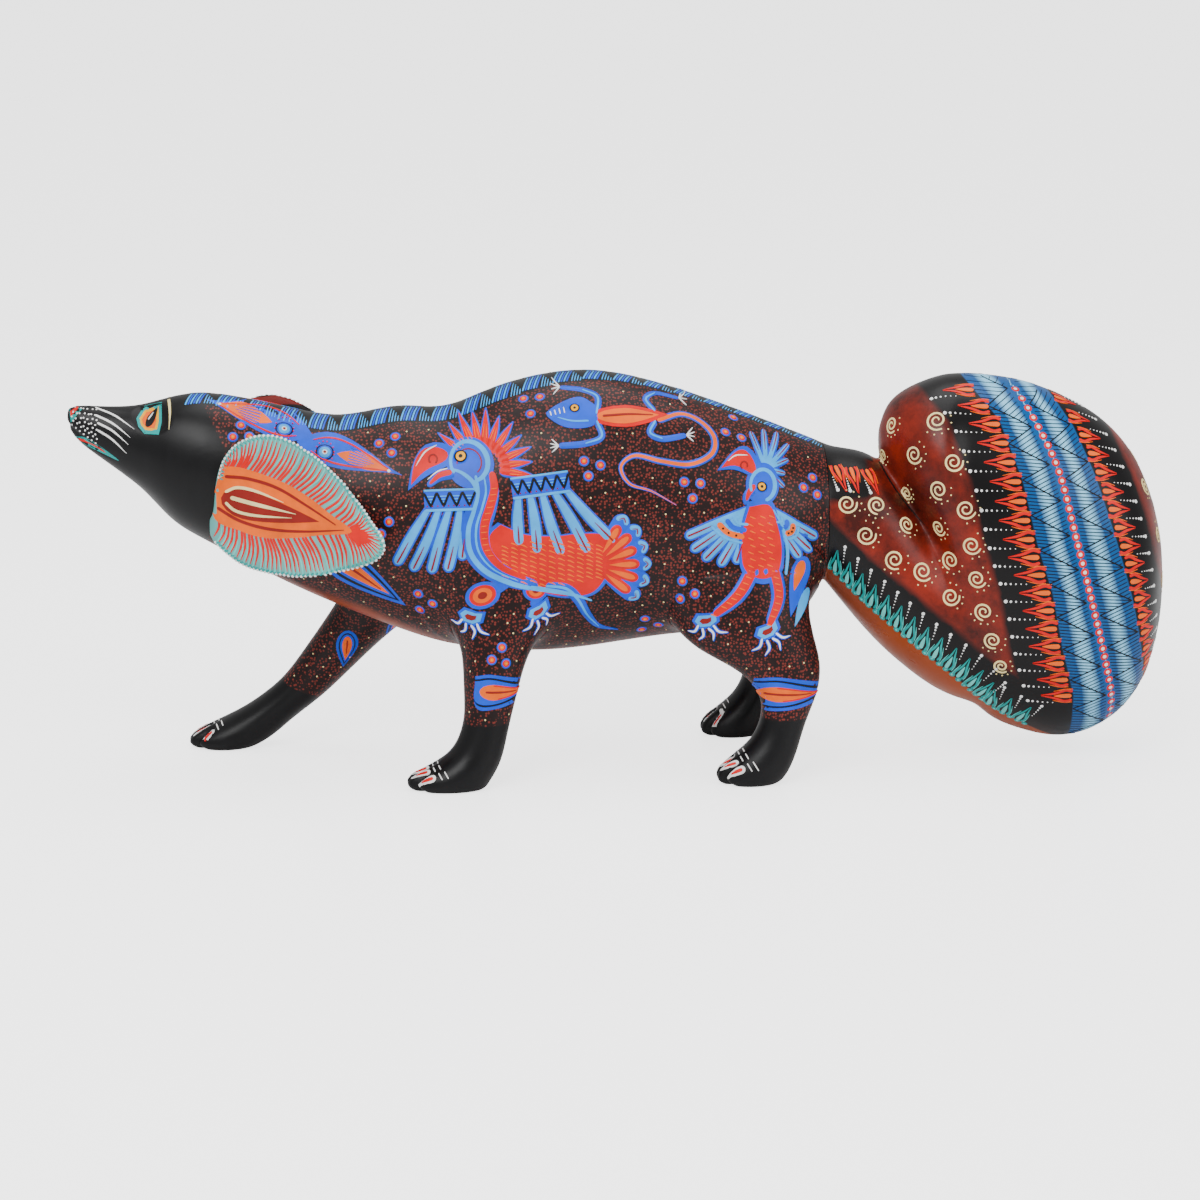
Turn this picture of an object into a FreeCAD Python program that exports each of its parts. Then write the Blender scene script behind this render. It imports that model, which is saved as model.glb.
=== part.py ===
"""A carved and painted wooden fox that stands on four flat soles.

The torso, neck and head are one carving.  Four legs are let into it and glued
over dowels.  The curled tail and the two leaf-shaped ears plug in on round pegs
and pull off again for packing.

Frame: millimetres, +Z up, the nose points to -X and the fox's left side is -Y.
The origin is on the floor, in the middle of the bounding box.
"""

import FreeCAD, Part
import os

doc = FreeCAD.newDocument("carved_fox")
sheet = doc.addObject("Spreadsheet::Sheet", "Sizes")

LEFT = -1
RIGHT = 1

# ---------------------------------------------------------------- sizes -----

# Sections across the length: x, top, bottom, half width.
TORSO_COLUMNS = ("x", "top", "bottom", "wide")
TORSO = (
    (-272, 183.5, 177, 3),
    (-268, 185, 169, 6),
    (-259, 185, 161, 9),
    (-247, 184.5, 152, 12.5),
    (-234, 185.5, 141, 18),
    (-222, 188.5, 128, 24),
    (-208, 190.5, 118.5, 28.5),
    (-190, 188.5, 108.5, 31),
    (-165, 183, 95, 34),
    (-136, 178.5, 81.5, 38),
    (-108, 182.5, 70, 42.5),
    (-88, 182, 63.5, 45),
    (-66, 189.5, 60, 47),
    (-40, 197, 58.5, 48),
    (-14, 199, 60.5, 48.5),
    (15, 193.5, 64.5, 47.5),
    (45, 183.5, 66.5, 46),
    (72, 173, 68, 43),
    (88, 166.5, 77, 38),
    (101, 161, 93, 31),
)

# The root of the tail, from its flat butt face into the thick of the curl.
TAIL_ROOT = (
    (101.3, 161, 93, 31),
    (115, 157.5, 76, 34),
    (129, 152, 60, 37),
    (143, 137, 47, 40),
    (158, 119, 35.5, 41),
    (175, 106, 28, 38),
    (195, 95, 30, 31),
)

# The curl itself, from the tip that folds back over the root to its far end.
TAIL_CURL = (
    (129.5, 168, 156, 5),
    (134, 179, 144, 16),
    (143, 187, 126, 29),
    (156, 192.5, 98, 40),
    (170, 195, 47, 44),
    (185, 194, 21, 47.5),
    (203, 190.5, 12.5, 49),
    (222, 183, 9, 49),
    (240, 172.5, 13, 46),
    (255, 157, 24, 41),
    (265, 138, 40, 31),
    (270.5, 120, 57, 19),
    (272, 104, 73, 9),
)

# A leaf-shaped ear: x, top, bottom, distance from the middle, half thickness.
EAR_COLUMNS = ("x", "top", "bottom", "out", "thick")
EAR = (
    (-203, 134, 126, 31, 2.5),
    (-200, 149, 121, 32, 4),
    (-194, 167, 115.5, 33.5, 5),
    (-184, 175, 110, 37, 4.5),
    (-172, 177, 107.5, 41, 3.5),
    (-158, 172, 107, 45.5, 3),
    (-144, 161.5, 109.5, 50, 2.8),
    (-132, 147.5, 113, 54, 2.6),
    (-123, 134.5, 117, 57, 2.3),
    (-118.5, 128, 123, 58.5, 1.5),
)

# Sections up a leg: height, front, back, distance from the middle, half width.
LEG_COLUMNS = ("z", "front", "back", "out", "wide")
FORELEG_STANDING = (
    (0, -106, -70, 48, 12),
    (4, -109.5, -67.5, 48, 13.5),
    (11, -99, -63.5, 47.5, 13),
    (20, -86.5, -60.5, 47, 11.5),
    (33, -81, -57.5, 45.5, 11),
    (52, -80.5, -52.5, 42.5, 12.5),
    (70, -81, -46.5, 39, 14.5),
    (90, -84, -38, 34, 14.5),
    (108, -78, -44, 28, 10),
)
FORELEG_STRIDING = (
    (0, -213, -184, 43, 12),
    (4, -217, -176, 43, 13.5),
    (11, -207, -167, 43, 13),
    (20, -189, -156, 42.5, 12),
    (33, -171.5, -141, 41, 11.5),
    (50, -158, -124, 38.5, 12.5),
    (68, -146, -104, 35.5, 14),
    (88, -134, -82, 31.5, 14),
    (106, -116, -78, 27, 10),
)
HIND_LEG = (
    (0, 47, 75, 47.5, 12),
    (4, 43.5, 79, 47.5, 13.5),
    (11, 49, 82.5, 47.5, 13),
    (20, 59.5, 85.5, 47, 11.5),
    (31, 65.5, 89, 46, 11),
    (44, 65, 94, 44.5, 12.5),
    (56, 54, 96, 42.5, 14.5),
    (68, 34, 94, 40, 17),
    (84, 25, 90, 37, 18),
    (102, 26, 84, 32, 15),
    (116, 34, 76, 28, 9),
)

SINGLE_SIZES = {
    "hind_stagger": 1.5,      # the right hind foot stands this far back
    "right_ear_lift": 5,      # the right ear sits this much higher
    "dowel_radius": 5,
    "dowel_length": 44,
    "tail_peg_radius": 8,
    "tail_peg_length": 60,
    "tail_peg_in_body": 34,
    "tail_peg_height": 127,
    "ear_peg_radius": 4,
    "ear_peg_length": 22,
    "ear_peg_in_ear": 4,
    "ear_peg_x": -190,
    "ear_peg_height": 143,
    "peg_clearance": 0.05,    # running fit of the pegs that pull out
    "seat_gap": 0.35,         # between an ear's hollowed seat and the neck
    "socket_extra": 2,        # a socket is this much deeper than its peg
}

# Each dowel: name of its leg, x, distance from the middle, height of its
# middle, and its lean from upright in degrees.
DOWEL_COLUMNS = ("x", "out", "z", "lean")
DOWELS = {
    "front_left": (-61, 29, 108, 0),
    "front_right": (-97, 28, 106, 38),
    "hind_left": (55, 29, 114, 0),
    "hind_right": (56.5, 29, 114, 0),
}


def fill_sheet():
    """Write every size into the sheet as a plain number with an alias."""
    row = 1
    for alias, value in all_sizes():
        sheet.set("A%d" % row, alias)
        sheet.set("B%d" % row, str(value))
        sheet.setAlias("B%d" % row, alias)
        row += 1
    doc.recompute()


def all_sizes():
    """Yield the alias and value of every driving dimension."""
    tables = (
        ("torso", TORSO_COLUMNS, TORSO),
        ("tail_root", TORSO_COLUMNS, TAIL_ROOT),
        ("tail_curl", TORSO_COLUMNS, TAIL_CURL),
        ("ear", EAR_COLUMNS, EAR),
        ("standing", LEG_COLUMNS, FORELEG_STANDING),
        ("striding", LEG_COLUMNS, FORELEG_STRIDING),
        ("hind", LEG_COLUMNS, HIND_LEG),
    )
    for name, columns, rows in tables:
        for number, row in enumerate(rows):
            for column, value in zip(columns, row):
                yield "%s_%d_%s" % (name, number, column), value
    for leg, row in DOWELS.items():
        for column, value in zip(DOWEL_COLUMNS, row):
            yield "dowel_%s_%s" % (leg, column), value
    yield from SINGLE_SIZES.items()


# ---------------------------------------------------------- construction ----


def bind(thing, **expressions):
    """Tie properties to the sheet; __ in a name stands for a dot."""
    for name, expression in expressions.items():
        thing.setExpression(name.replace("__", "."), expression)


def cell(text):
    """Expand @alias in an expression to the sheet's cell of that name."""
    return text.replace("@", "Sizes.")


def upright_ellipse(name, x, top, bottom, out, wide):
    """An ellipse across the length, its long axis upright."""
    ring = doc.addObject("Part::Ellipse", name)
    ring.Placement.Rotation = FreeCAD.Rotation(FreeCAD.Vector(0, 1, 0), -90)
    bind(
        ring,
        MajorRadius=cell("(%s - %s) / 2" % (top, bottom)),
        MinorRadius=cell(wide),
        Placement__Base__x=cell(x),
        Placement__Base__y=cell(out),
        Placement__Base__z=cell("(%s + %s) / 2" % (top, bottom)),
    )
    return ring


def flat_ellipse(name, z, front, back, out, wide):
    """A level ellipse, its long axis along the fox."""
    ring = doc.addObject("Part::Ellipse", name)
    bind(
        ring,
        MajorRadius=cell("(%s - %s) / 2" % (back, front)),
        MinorRadius=cell(wide),
        Placement__Base__x=cell("(%s + %s) / 2" % (front, back)),
        Placement__Base__y=cell(out),
        Placement__Base__z=cell(z),
    )
    return ring


def loft(name, rings):
    """A smooth solid through a row of rings."""
    solid = doc.addObject("Part::Loft", name)
    solid.Sections = rings
    solid.Solid = True
    solid.Ruled = False
    return solid


def lengthwise_loft(name, table, count, spare="0"):
    """A loft through upright ellipses that are spare larger all round."""
    rings = []
    for number in range(count):
        key = "@%s_%d_" % (table, number)
        rings.append(
            upright_ellipse(
                "%s_ring_%d" % (name, number),
                key + "x",
                "(%stop + %s)" % (key, spare),
                "(%sbottom - %s)" % (key, spare),
                "0",
                "%swide + %s" % (key, spare),
            )
        )
    return loft(name, rings)


def cylinder(name, radius, length, x, y, z, turn):
    """A round bar from one end at x, y, z, turned from upright."""
    bar = doc.addObject("Part::Cylinder", name)
    bar.Placement.Rotation = turn
    bind(
        bar,
        Radius=cell(radius),
        Height=cell(length),
        Placement__Base__x=cell(x),
        Placement__Base__y=cell(y),
        Placement__Base__z=cell(z),
    )
    return bar


def cut(name, base, tools):
    """Take the tools out of the base."""
    tool = tools[0]
    if len(tools) > 1:
        tool = doc.addObject("Part::MultiFuse", name + "_tools")
        tool.Shapes = tools
    result = doc.addObject("Part::Cut", name)
    result.Base = base
    result.Tool = tool
    return result


# -------------------------------------------------------------- sub-parts ---


def leg_loft(name, table, count, side, shift="0"):
    """One leg, from its flat sole to the end that is let into the torso."""
    rings = []
    for number in range(count):
        key = "@%s_%d_" % (table, number)
        rings.append(
            flat_ellipse(
                "%s_ring_%d" % (name, number),
                key + "z",
                "(%sfront + %s)" % (key, shift),
                "(%sback + %s)" % (key, shift),
                "%d * %sout" % (side, key),
                key + "wide",
            )
        )
    return loft(name, rings)


def dowel(leg, side, label):
    """A glued dowel, half of it in the leg and half in the torso."""
    key = "@dowel_%s_" % leg
    turn = FreeCAD.Rotation(FreeCAD.Vector(0, 1, 0), DOWELS[leg][3])
    return cylinder(
        label,
        "@dowel_radius",
        "@dowel_length",
        "%sx - @dowel_length / 2 * sin(%slean)" % (key, key),
        "%d * %sout" % (side, key),
        "%sz - @dowel_length / 2 * cos(%slean)" % (key, key),
        turn,
    )


def ear_peg(label, side, spare_radius="0", spare_length="0"):
    """A peg that points from an ear straight into the side of the neck."""
    turn = FreeCAD.Rotation(FreeCAD.Vector(1, 0, 0), 90 * side)
    seat = "(@ear_2_out + @ear_3_out) / 2 + @ear_peg_in_ear / 2"
    return cylinder(
        label,
        "@ear_peg_radius + " + spare_radius,
        "@ear_peg_length + " + spare_length,
        "@ear_peg_x",
        "%d * (%s)" % (side, seat),
        "@ear_peg_height",
        turn,
    )


def ear_blank(label, side, lift):
    """The leaf-shaped blade before its seat and its hole are cut."""
    rings = []
    for number in range(len(EAR)):
        key = "@ear_%d_" % number
        rings.append(
            upright_ellipse(
                "%s_ring_%d" % (label, number),
                key + "x",
                "(%stop + %s)" % (key, lift),
                "(%sbottom + %s)" % (key, lift),
                "%d * %sout" % (side, key),
                key + "thick",
            )
        )
    return loft(label, rings)


def tail_peg(label, spare_radius="0", spare_length="0"):
    """The level peg that carries the tail, from inside the rump."""
    turn = FreeCAD.Rotation(FreeCAD.Vector(0, 1, 0), 90)
    return cylinder(
        label,
        "@tail_peg_radius + " + spare_radius,
        "@tail_peg_length + " + spare_length,
        "@torso_%d_x - @tail_peg_in_body - %s" % (len(TORSO) - 1, spare_length),
        "0",
        "@tail_peg_height",
        turn,
    )


def build_legs():
    """The four legs before the dowel holes: name, side and solid."""
    return {
        "front_left": (LEFT, leg_loft("fore_left", "standing", len(FORELEG_STANDING), LEFT)),
        "front_right": (RIGHT, leg_loft("fore_right", "striding", len(FORELEG_STRIDING), RIGHT)),
        "hind_left": (LEFT, leg_loft("rear_left", "hind", len(HIND_LEG), LEFT)),
        "hind_right": (RIGHT, leg_loft("rear_right", "hind", len(HIND_LEG), RIGHT, "@hind_stagger")),
    }


def build():
    """Make every sub-part and return them by name."""
    fill_sheet()
    parts = {}
    sockets = []

    for leg, (side, blank) in build_legs().items():
        pin = dowel(leg, side, leg + "_dowel")
        parts[leg + "_dowel"] = pin
        parts[leg + "_leg"] = cut(leg + "_leg", blank, [pin])
        sockets += [blank, pin]

    neck_room = lengthwise_loft("neck_room", "torso", len(TORSO), "@seat_gap")
    for name, side, lift in (("left_ear", LEFT, "0"), ("right_ear", RIGHT, "@right_ear_lift")):
        peg = ear_peg(name + "_peg", side)
        parts[name + "_peg"] = peg
        parts[name] = cut(name, ear_blank(name + "_blank", side, lift), [neck_room, peg])
        sockets.append(ear_peg(name + "_socket", side, "@peg_clearance", "@socket_extra"))

    peg = tail_peg("tail_peg")
    parts["tail_peg"] = peg
    whole = doc.addObject("Part::Fuse", "tail_whole")
    whole.Base = lengthwise_loft("tail_limb", "tail_root", len(TAIL_ROOT))
    whole.Tool = lengthwise_loft("tail_lobe", "tail_curl", len(TAIL_CURL))
    parts["tail"] = cut("tail", whole, [peg])
    sockets.append(tail_peg("tail_socket", "@peg_clearance", "@socket_extra"))

    body = lengthwise_loft("body_blank", "torso", len(TORSO))
    parts["body_carving"] = cut("body_carving", body, sockets)
    for name, thing in parts.items():
        thing.Label = name
    doc.recompute()
    return parts


def check(parts):
    """Stop if any object failed or any sub-part is not one valid solid."""
    for thing in doc.Objects:
        if "Invalid" in thing.State or "Error" in thing.State:
            raise RuntimeError("%s failed: %s" % (thing.Name, thing.State))
    for name, thing in parts.items():
        shape = thing.Shape
        if shape.isNull() or not shape.isValid() or len(shape.Solids) != 1:
            raise RuntimeError("%s is not one valid solid" % name)
        print("%-20s %8.1f cm3" % (name, shape.Volume / 1000))


def write(parts):
    """Write each sub-part to its own file."""
    os.makedirs("parts", exist_ok=True)
    for name, thing in parts.items():
        thing.Shape.exportStep("parts/%s.step" % name)


fox = build()
check(fox)
write(fox)
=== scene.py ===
"""The looks of a carved and painted wooden fox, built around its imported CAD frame.

Metres throughout; the nose points to -X and the side that the camera sees is -Y.
Skins come first: smooth shells drawn over the CAD solids.  Paint comes next: every
motif is a thin raised layer laid on a skin.  Materials, floor, lights and camera follow.
"""

import math
import random

import bmesh
import bpy
import numpy as np
from mathutils import Matrix, Vector
from mathutils.bvhtree import BVHTree
from mathutils.geometry import delaunay_2d_cdt


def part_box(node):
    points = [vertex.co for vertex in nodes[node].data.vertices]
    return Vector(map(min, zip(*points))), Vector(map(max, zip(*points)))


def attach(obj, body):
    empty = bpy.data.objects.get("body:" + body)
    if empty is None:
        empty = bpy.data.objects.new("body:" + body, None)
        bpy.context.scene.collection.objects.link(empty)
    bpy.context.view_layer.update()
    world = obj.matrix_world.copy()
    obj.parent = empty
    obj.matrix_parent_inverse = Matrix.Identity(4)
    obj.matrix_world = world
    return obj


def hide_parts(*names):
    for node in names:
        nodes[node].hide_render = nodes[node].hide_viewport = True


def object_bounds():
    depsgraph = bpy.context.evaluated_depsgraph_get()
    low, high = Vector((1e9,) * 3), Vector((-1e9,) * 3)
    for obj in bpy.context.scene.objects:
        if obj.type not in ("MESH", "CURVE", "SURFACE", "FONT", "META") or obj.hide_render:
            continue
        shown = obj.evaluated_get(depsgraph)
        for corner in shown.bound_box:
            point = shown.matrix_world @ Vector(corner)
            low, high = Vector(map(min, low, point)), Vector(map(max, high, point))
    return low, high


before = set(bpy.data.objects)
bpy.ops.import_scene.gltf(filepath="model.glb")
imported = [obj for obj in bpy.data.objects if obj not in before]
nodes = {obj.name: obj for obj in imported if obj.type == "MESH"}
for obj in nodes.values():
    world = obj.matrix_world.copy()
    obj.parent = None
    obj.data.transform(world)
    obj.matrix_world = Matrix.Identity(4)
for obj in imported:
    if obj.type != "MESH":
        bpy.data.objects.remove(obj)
cad_box = [list(corner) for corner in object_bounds()]

MM = 0.001
LEGS = ("front_left", "front_right", "hind_left", "hind_right")
EARS = ("left_ear", "right_ear")
NEAR = -1
FAR = 1
SCENE = bpy.context.scene


# ------------------------------------------------------------------ meshes --

def link(name, data):
    """A new object for a mesh, lamp or camera, in the scene."""
    thing = bpy.data.objects.new(name, data)
    SCENE.collection.objects.link(thing)
    return thing


def as_array(mesh, what="co"):
    """A mesh's vertex places or normals as rows of numbers."""
    flat = np.zeros(len(mesh.vertices) * 3)
    mesh.vertices.foreach_get(what, flat)
    return flat.reshape(-1, 3)


def set_places(mesh, places):
    """Move a mesh's vertices."""
    mesh.vertices.foreach_set("co", places.ravel())
    mesh.update()


def with_modifiers(thing, *recipes):
    """Replace an object's mesh by the one that a row of modifiers makes of it."""
    for kind, settings in recipes:
        modifier = thing.modifiers.new(kind.lower(), kind)
        for name, value in settings.items():
            setattr(modifier, name, value)
    graph = bpy.context.evaluated_depsgraph_get()
    made = bpy.data.meshes.new_from_object(thing.evaluated_get(graph))
    thing.modifiers.clear()
    thing.data = made
    return thing


def rod(start, end, radius, sides=48):
    """A round bar between two points, as an object."""
    bm = bmesh.new()
    start, end = Vector(start), Vector(end)
    along = end - start
    turn = along.to_track_quat("Z", "Y").to_matrix().to_4x4()
    place = Matrix.Translation((start + end) / 2) @ turn
    bmesh.ops.create_cone(
        bm, cap_ends=True, segments=sides, radius1=radius, radius2=radius,
        depth=along.length, matrix=place,
    )
    mesh = bpy.data.meshes.new("rod")
    bm.to_mesh(mesh)
    return link("rod", mesh)


def joined(name, things):
    """One mesh object holding copies of several."""
    bm = bmesh.new()
    for thing in things:
        bm.from_mesh(thing.data)
    bmesh.ops.remove_doubles(bm, verts=bm.verts, dist=1e-6)
    mesh = bpy.data.meshes.new(name)
    bm.to_mesh(mesh)
    return link(name, mesh)


def skin_over(name, things, voxel, rounds):
    """A smooth closed shell over some solids."""
    shell = joined(name, things)
    return with_modifiers(
        shell,
        ("REMESH", {"mode": "VOXEL", "voxel_size": voxel}),
        ("SMOOTH", {"factor": 0.5, "iterations": rounds}),
    )


def drop(*things):
    """Delete helper objects."""
    for thing in things:
        bpy.data.objects.remove(thing)


def tree_of(mesh):
    """A search tree over a mesh's faces."""
    faces = [tuple(face.vertices) for face in mesh.polygons]
    return BVHTree.FromPolygons([v.co.copy() for v in mesh.vertices], faces)


def signed_gap(tree, point, reach):
    """How far a point is outside (or, below zero, inside) a solid."""
    place, normal, _, gap = tree.find_nearest(point, reach)
    if place is None:
        return reach
    return gap if (point - place).dot(normal) > 0 else -gap


def ease(value, low, high):
    """0 below low, 1 above high, and a smooth step between them."""
    share = np.clip((np.asarray(value, float) - low) / (high - low), 0, 1)
    return share * share * (3 - 2 * share)


# -------------------------------------------------------------- body skin ---

BODY_VOXEL = 1.25 * MM
SHOULDER_BLEND = 17 * MM
TAIL_PEG_LOW, TAIL_PEG_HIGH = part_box("tail_peg")
TAIL_PEG_MIDDLE = (TAIL_PEG_LOW + TAIL_PEG_HIGH) / 2
RUMP_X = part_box("body_carving")[1].x
SOCKET_PLAY = 0.25 * MM
LEG_TOP = 96 * MM
FOOT_HALF = 13.5 * MM
TOE_GROOVES = (-6, 0, 6)
TAIL_PLUG = 9 * MM
EAR_PLUG = 4.5 * MM
SHOULDER_TOP = 0.14
LIP = ((-0.272, 0.1765), (-0.262, 0.1675), (-0.249, 0.1605))
EYE_MIDDLE = (-0.2305, 0.1805)


def torso_profile(step=4 * MM):
    """The torso's places along X with its middle height, half height and half width there."""
    places = as_array(nodes["body_carving"].data)
    rows = []
    for x in np.arange(places[:, 0].min() + step, RUMP_X, step):
        here = places[np.abs(places[:, 0] - x) < step]
        top, bottom = here[:, 2].max(), here[:, 2].min()
        rows.append((x, (top + bottom) / 2, (top - bottom) / 2, np.abs(here[:, 1]).max()))
    return np.array(rows)


PROFILE = torso_profile()


def across(places):
    """Each place's distance out from the torso's upright oval section, near enough."""
    middle, tall, wide = (np.interp(places[:, 0], PROFILE[:, 0], PROFILE[:, i]) for i in (1, 2, 3))
    side, rise = places[:, 1], places[:, 2] - middle
    square = (side / wide) ** 2 + (rise / tall) ** 2
    slope = 2 * np.hypot(side / wide**2, rise / tall**2)
    return (square - 1) / np.maximum(slope, 1)


def blend_shoulders(shell):
    """Swell the skin where legs meet the torso, as a soft union of the two."""
    limbs = [tree_of(nodes[leg + "_leg"].data) for leg in LEGS]
    for _ in range(3):
        mesh = shell.data
        places = as_array(mesh)
        normals = as_array(mesh, "normal")
        torso_gap = across(places)
        is_near = (places[:, 2] < SHOULDER_TOP) & (np.abs(torso_gap) < 2 * SHOULDER_BLEND)
        for number in np.flatnonzero(is_near):
            point = Vector(places[number])
            leg_gap = min(signed_gap(limb, point, SHOULDER_BLEND) for limb in limbs)
            share = 1 - abs(leg_gap - torso_gap[number]) / SHOULDER_BLEND
            if share > 0 and leg_gap < SHOULDER_BLEND:
                gap = min(leg_gap, torso_gap[number]) - share * share * SHOULDER_BLEND / 4
                places[number] -= normals[number] * gap
        set_places(mesh, places)
        with_modifiers(shell, ("SMOOTH", {"factor": 0.5, "iterations": 3}))


def cut_with(shell, *tools):
    """Take round bars and blocks out of a closed shell."""
    for tool in tools:
        with_modifiers(shell, ("BOOLEAN", {"object": tool, "operation": "DIFFERENCE", "solver": "EXACT"}))
        drop(tool)


def block(low, high):
    """A plain box used as a cutter."""
    bm = bmesh.new()
    bmesh.ops.create_cube(bm, size=1)
    low, high = Vector(low), Vector(high)
    for vert in bm.verts:
        vert.co = Vector((low[i] + (vert.co[i] + 0.5) * (high[i] - low[i])) for i in range(3))
    mesh = bpy.data.meshes.new("block")
    bm.to_mesh(mesh)
    return link("block", mesh)


# ------------------------------------------------------- tail and ear skins --


def steps(places, rows):
    """Straight lines through a few pairs, as millimetres, read at places in millimetres."""
    rows = sorted(rows)
    return np.interp(places, [r[0] for r in rows], [r[1] for r in rows])


# The upper crease, as x by height in millimetres, and the ends of the lower one in metres.
CREASE = ((103, 162), (121, 152), (135, 138), (154, 129), (170, 127))
LOW_CREASE = np.array((0.150, 0.122)), np.array((0.181, 0.020))


def soften_tail(shell):
    """Fade the crease between root and curl below the middle of the tail, as sanding would."""
    places = as_array(shell.data)
    start, end = LOW_CREASE
    along = end - start
    flat = places[:, (0, 2)]
    share = np.clip((flat - start) @ along / (along @ along), 0, 1)
    gap = np.linalg.norm(flat - (start + share[:, None] * along), axis=1)
    weight = (1 - ease(gap, 0.012, 0.034)) * (1 - ease(places[:, 2], 0.108, 0.128))
    group = shell.vertex_groups.new(name="crease")
    for number in np.flatnonzero(weight > 0.01):
        group.add([int(number)], float(weight[number]), "REPLACE")
    with_modifiers(shell, ("SMOOTH", {"factor": 0.6, "iterations": 140, "vertex_group": "crease"}))
    places = as_array(shell.data)
    x, _, z = places.T
    line = steps(z / MM, CREASE)
    weight = (1 - ease(np.abs(x / MM - line), 2, 6)) * ease(z, 0.100, 0.112) * (x > 0.110)
    group = shell.vertex_groups.new(name="valley")
    for number in np.flatnonzero(weight > 0.01):
        group.add([int(number)], float(weight[number]), "REPLACE")
    with_modifiers(shell, ("SMOOTH", {"factor": 0.5, "iterations": 14, "vertex_group": "valley"}))


def whole_skin():
    """Body, legs and tail as one shell, so that the tail's joint runs through an unbroken curve."""
    plugs = [rod((TAIL_PEG_LOW.x - 4 * MM, 0, TAIL_PEG_MIDDLE.z), (TAIL_PEG_HIGH.x, 0, TAIL_PEG_MIDDLE.z),
                 TAIL_PLUG)]
    for ear in EARS:
        low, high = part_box(ear + "_peg")
        side = NEAR if high.y < 0 else FAR
        middle = (low + high) / 2
        inner = side * (min(abs(low.y), abs(high.y)) - 4 * MM)
        plugs.append(rod((middle.x, inner, middle.z), (middle.x, side * 29 * MM, middle.z), EAR_PLUG))
    solids = [nodes["body_carving"], nodes["tail"]] + [nodes[leg + "_leg"] for leg in LEGS] + plugs
    shell = skin_over("whole", solids, BODY_VOXEL, 6)
    drop(*plugs)
    blend_shoulders(shell)
    soften_tail(shell)
    return shell


def copy_of(thing, name):
    """A second object with its own copy of a mesh."""
    return link(name, thing.data.copy())


def sharpen(thing, degrees=38):
    """Smooth shading everywhere except over real edges."""
    mesh = thing.data
    mesh.shade_smooth()
    mesh.set_sharp_from_angle(angle=math.radians(degrees))
    return thing


def cut_toes(shell):
    """Grooves that part four toes on each foot."""
    places = as_array(shell.data)
    normals = as_array(shell.data, "normal")
    for leg in LEGS:
        low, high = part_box(leg + "_leg")
        side = NEAR if leg.endswith("left") else FAR
        middle = side * (max(abs(low.y), abs(high.y)) - FOOT_HALF)
        tip = low.x if leg.startswith("front") else low_toe(leg)
        near_foot = (places[:, 2] < 14 * MM) & (np.abs(places[:, 1] - middle) < 16 * MM)
        near_foot &= places[:, 0] > tip - 4 * MM
        reach = 1 - ease(places[:, 0], tip + 6 * MM, tip + 19 * MM)
        for offset in TOE_GROOVES:
            spread = offset * MM * (1 + 0.25 * reach)
            across_groove = (places[:, 1] - middle - spread) / (1.5 * MM)
            depth = 1.9 * MM * np.exp(-across_groove**2) * reach * near_foot
            places -= normals * depth[:, None]
    places[:, 2] = np.maximum(places[:, 2], 0)
    set_places(shell.data, places)


def low_toe(leg):
    """Where a hind foot's toes end, because its thigh reaches further forward."""
    places = as_array(nodes[leg + "_leg"].data)
    return places[places[:, 2] < 8 * MM][:, 0].min()


def cut_mouth(shell):
    """The line of the mouth, and hollows for the eyes."""
    places = as_array(shell.data)
    normals = as_array(shell.data, "normal")
    x, y, z = places.T
    lip = np.interp(x, *zip(*LIP))
    reach = 1 - ease(x, -0.256, -0.247)
    depth = 1.0 * MM * np.exp(-(((z - lip) / (1.0 * MM)) ** 2)) * reach
    eye = np.hypot((x - EYE_MIDDLE[0]) / 8.5, (z - EYE_MIDDLE[1]) / 6.5) / MM
    depth += 1.3 * MM * (1 - ease(eye, 0.75, 1.15)) * (np.abs(normals[:, 1]) > 0.3)
    places -= normals * depth[:, None]
    set_places(shell.data, places)


def split_off(shell, values, name):
    """Cut a closed shell in two where a value per vertex crosses zero, and cap both halves.

    Returns the part with values below zero.  The outer normals at the cut stay those of the
    whole shell, so the seam doesn't show.
    """
    bm = bmesh.new()
    bm.from_mesh(shell.data)
    level = bm.verts.layers.float.new("level")
    for vert, value in zip(bm.verts, values):
        vert[level] = value if abs(value) > 1e-6 else 1e-6
    fresh = []
    for edge in [e for e in bm.edges if e.verts[0][level] * e.verts[1][level] < 0]:
        first, second = edge.verts
        share = first[level] / (first[level] - second[level])
        _, middle = bmesh.utils.edge_split(edge, first, share)
        middle[level] = 0
        fresh.append(middle)
    bmesh.ops.connect_verts(bm, verts=fresh)
    bm.normal_update()
    bm.verts.index_update()
    seam = {tuple(round(c, 7) for c in vert.co): vert.normal.copy() for vert in fresh}
    whole = bpy.data.meshes.new(name)
    bm.to_mesh(whole)
    bm.free()
    piece = link(name, half_of(whole, -1, seam))
    shell.data = half_of(whole, 1, seam)
    return piece


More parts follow.
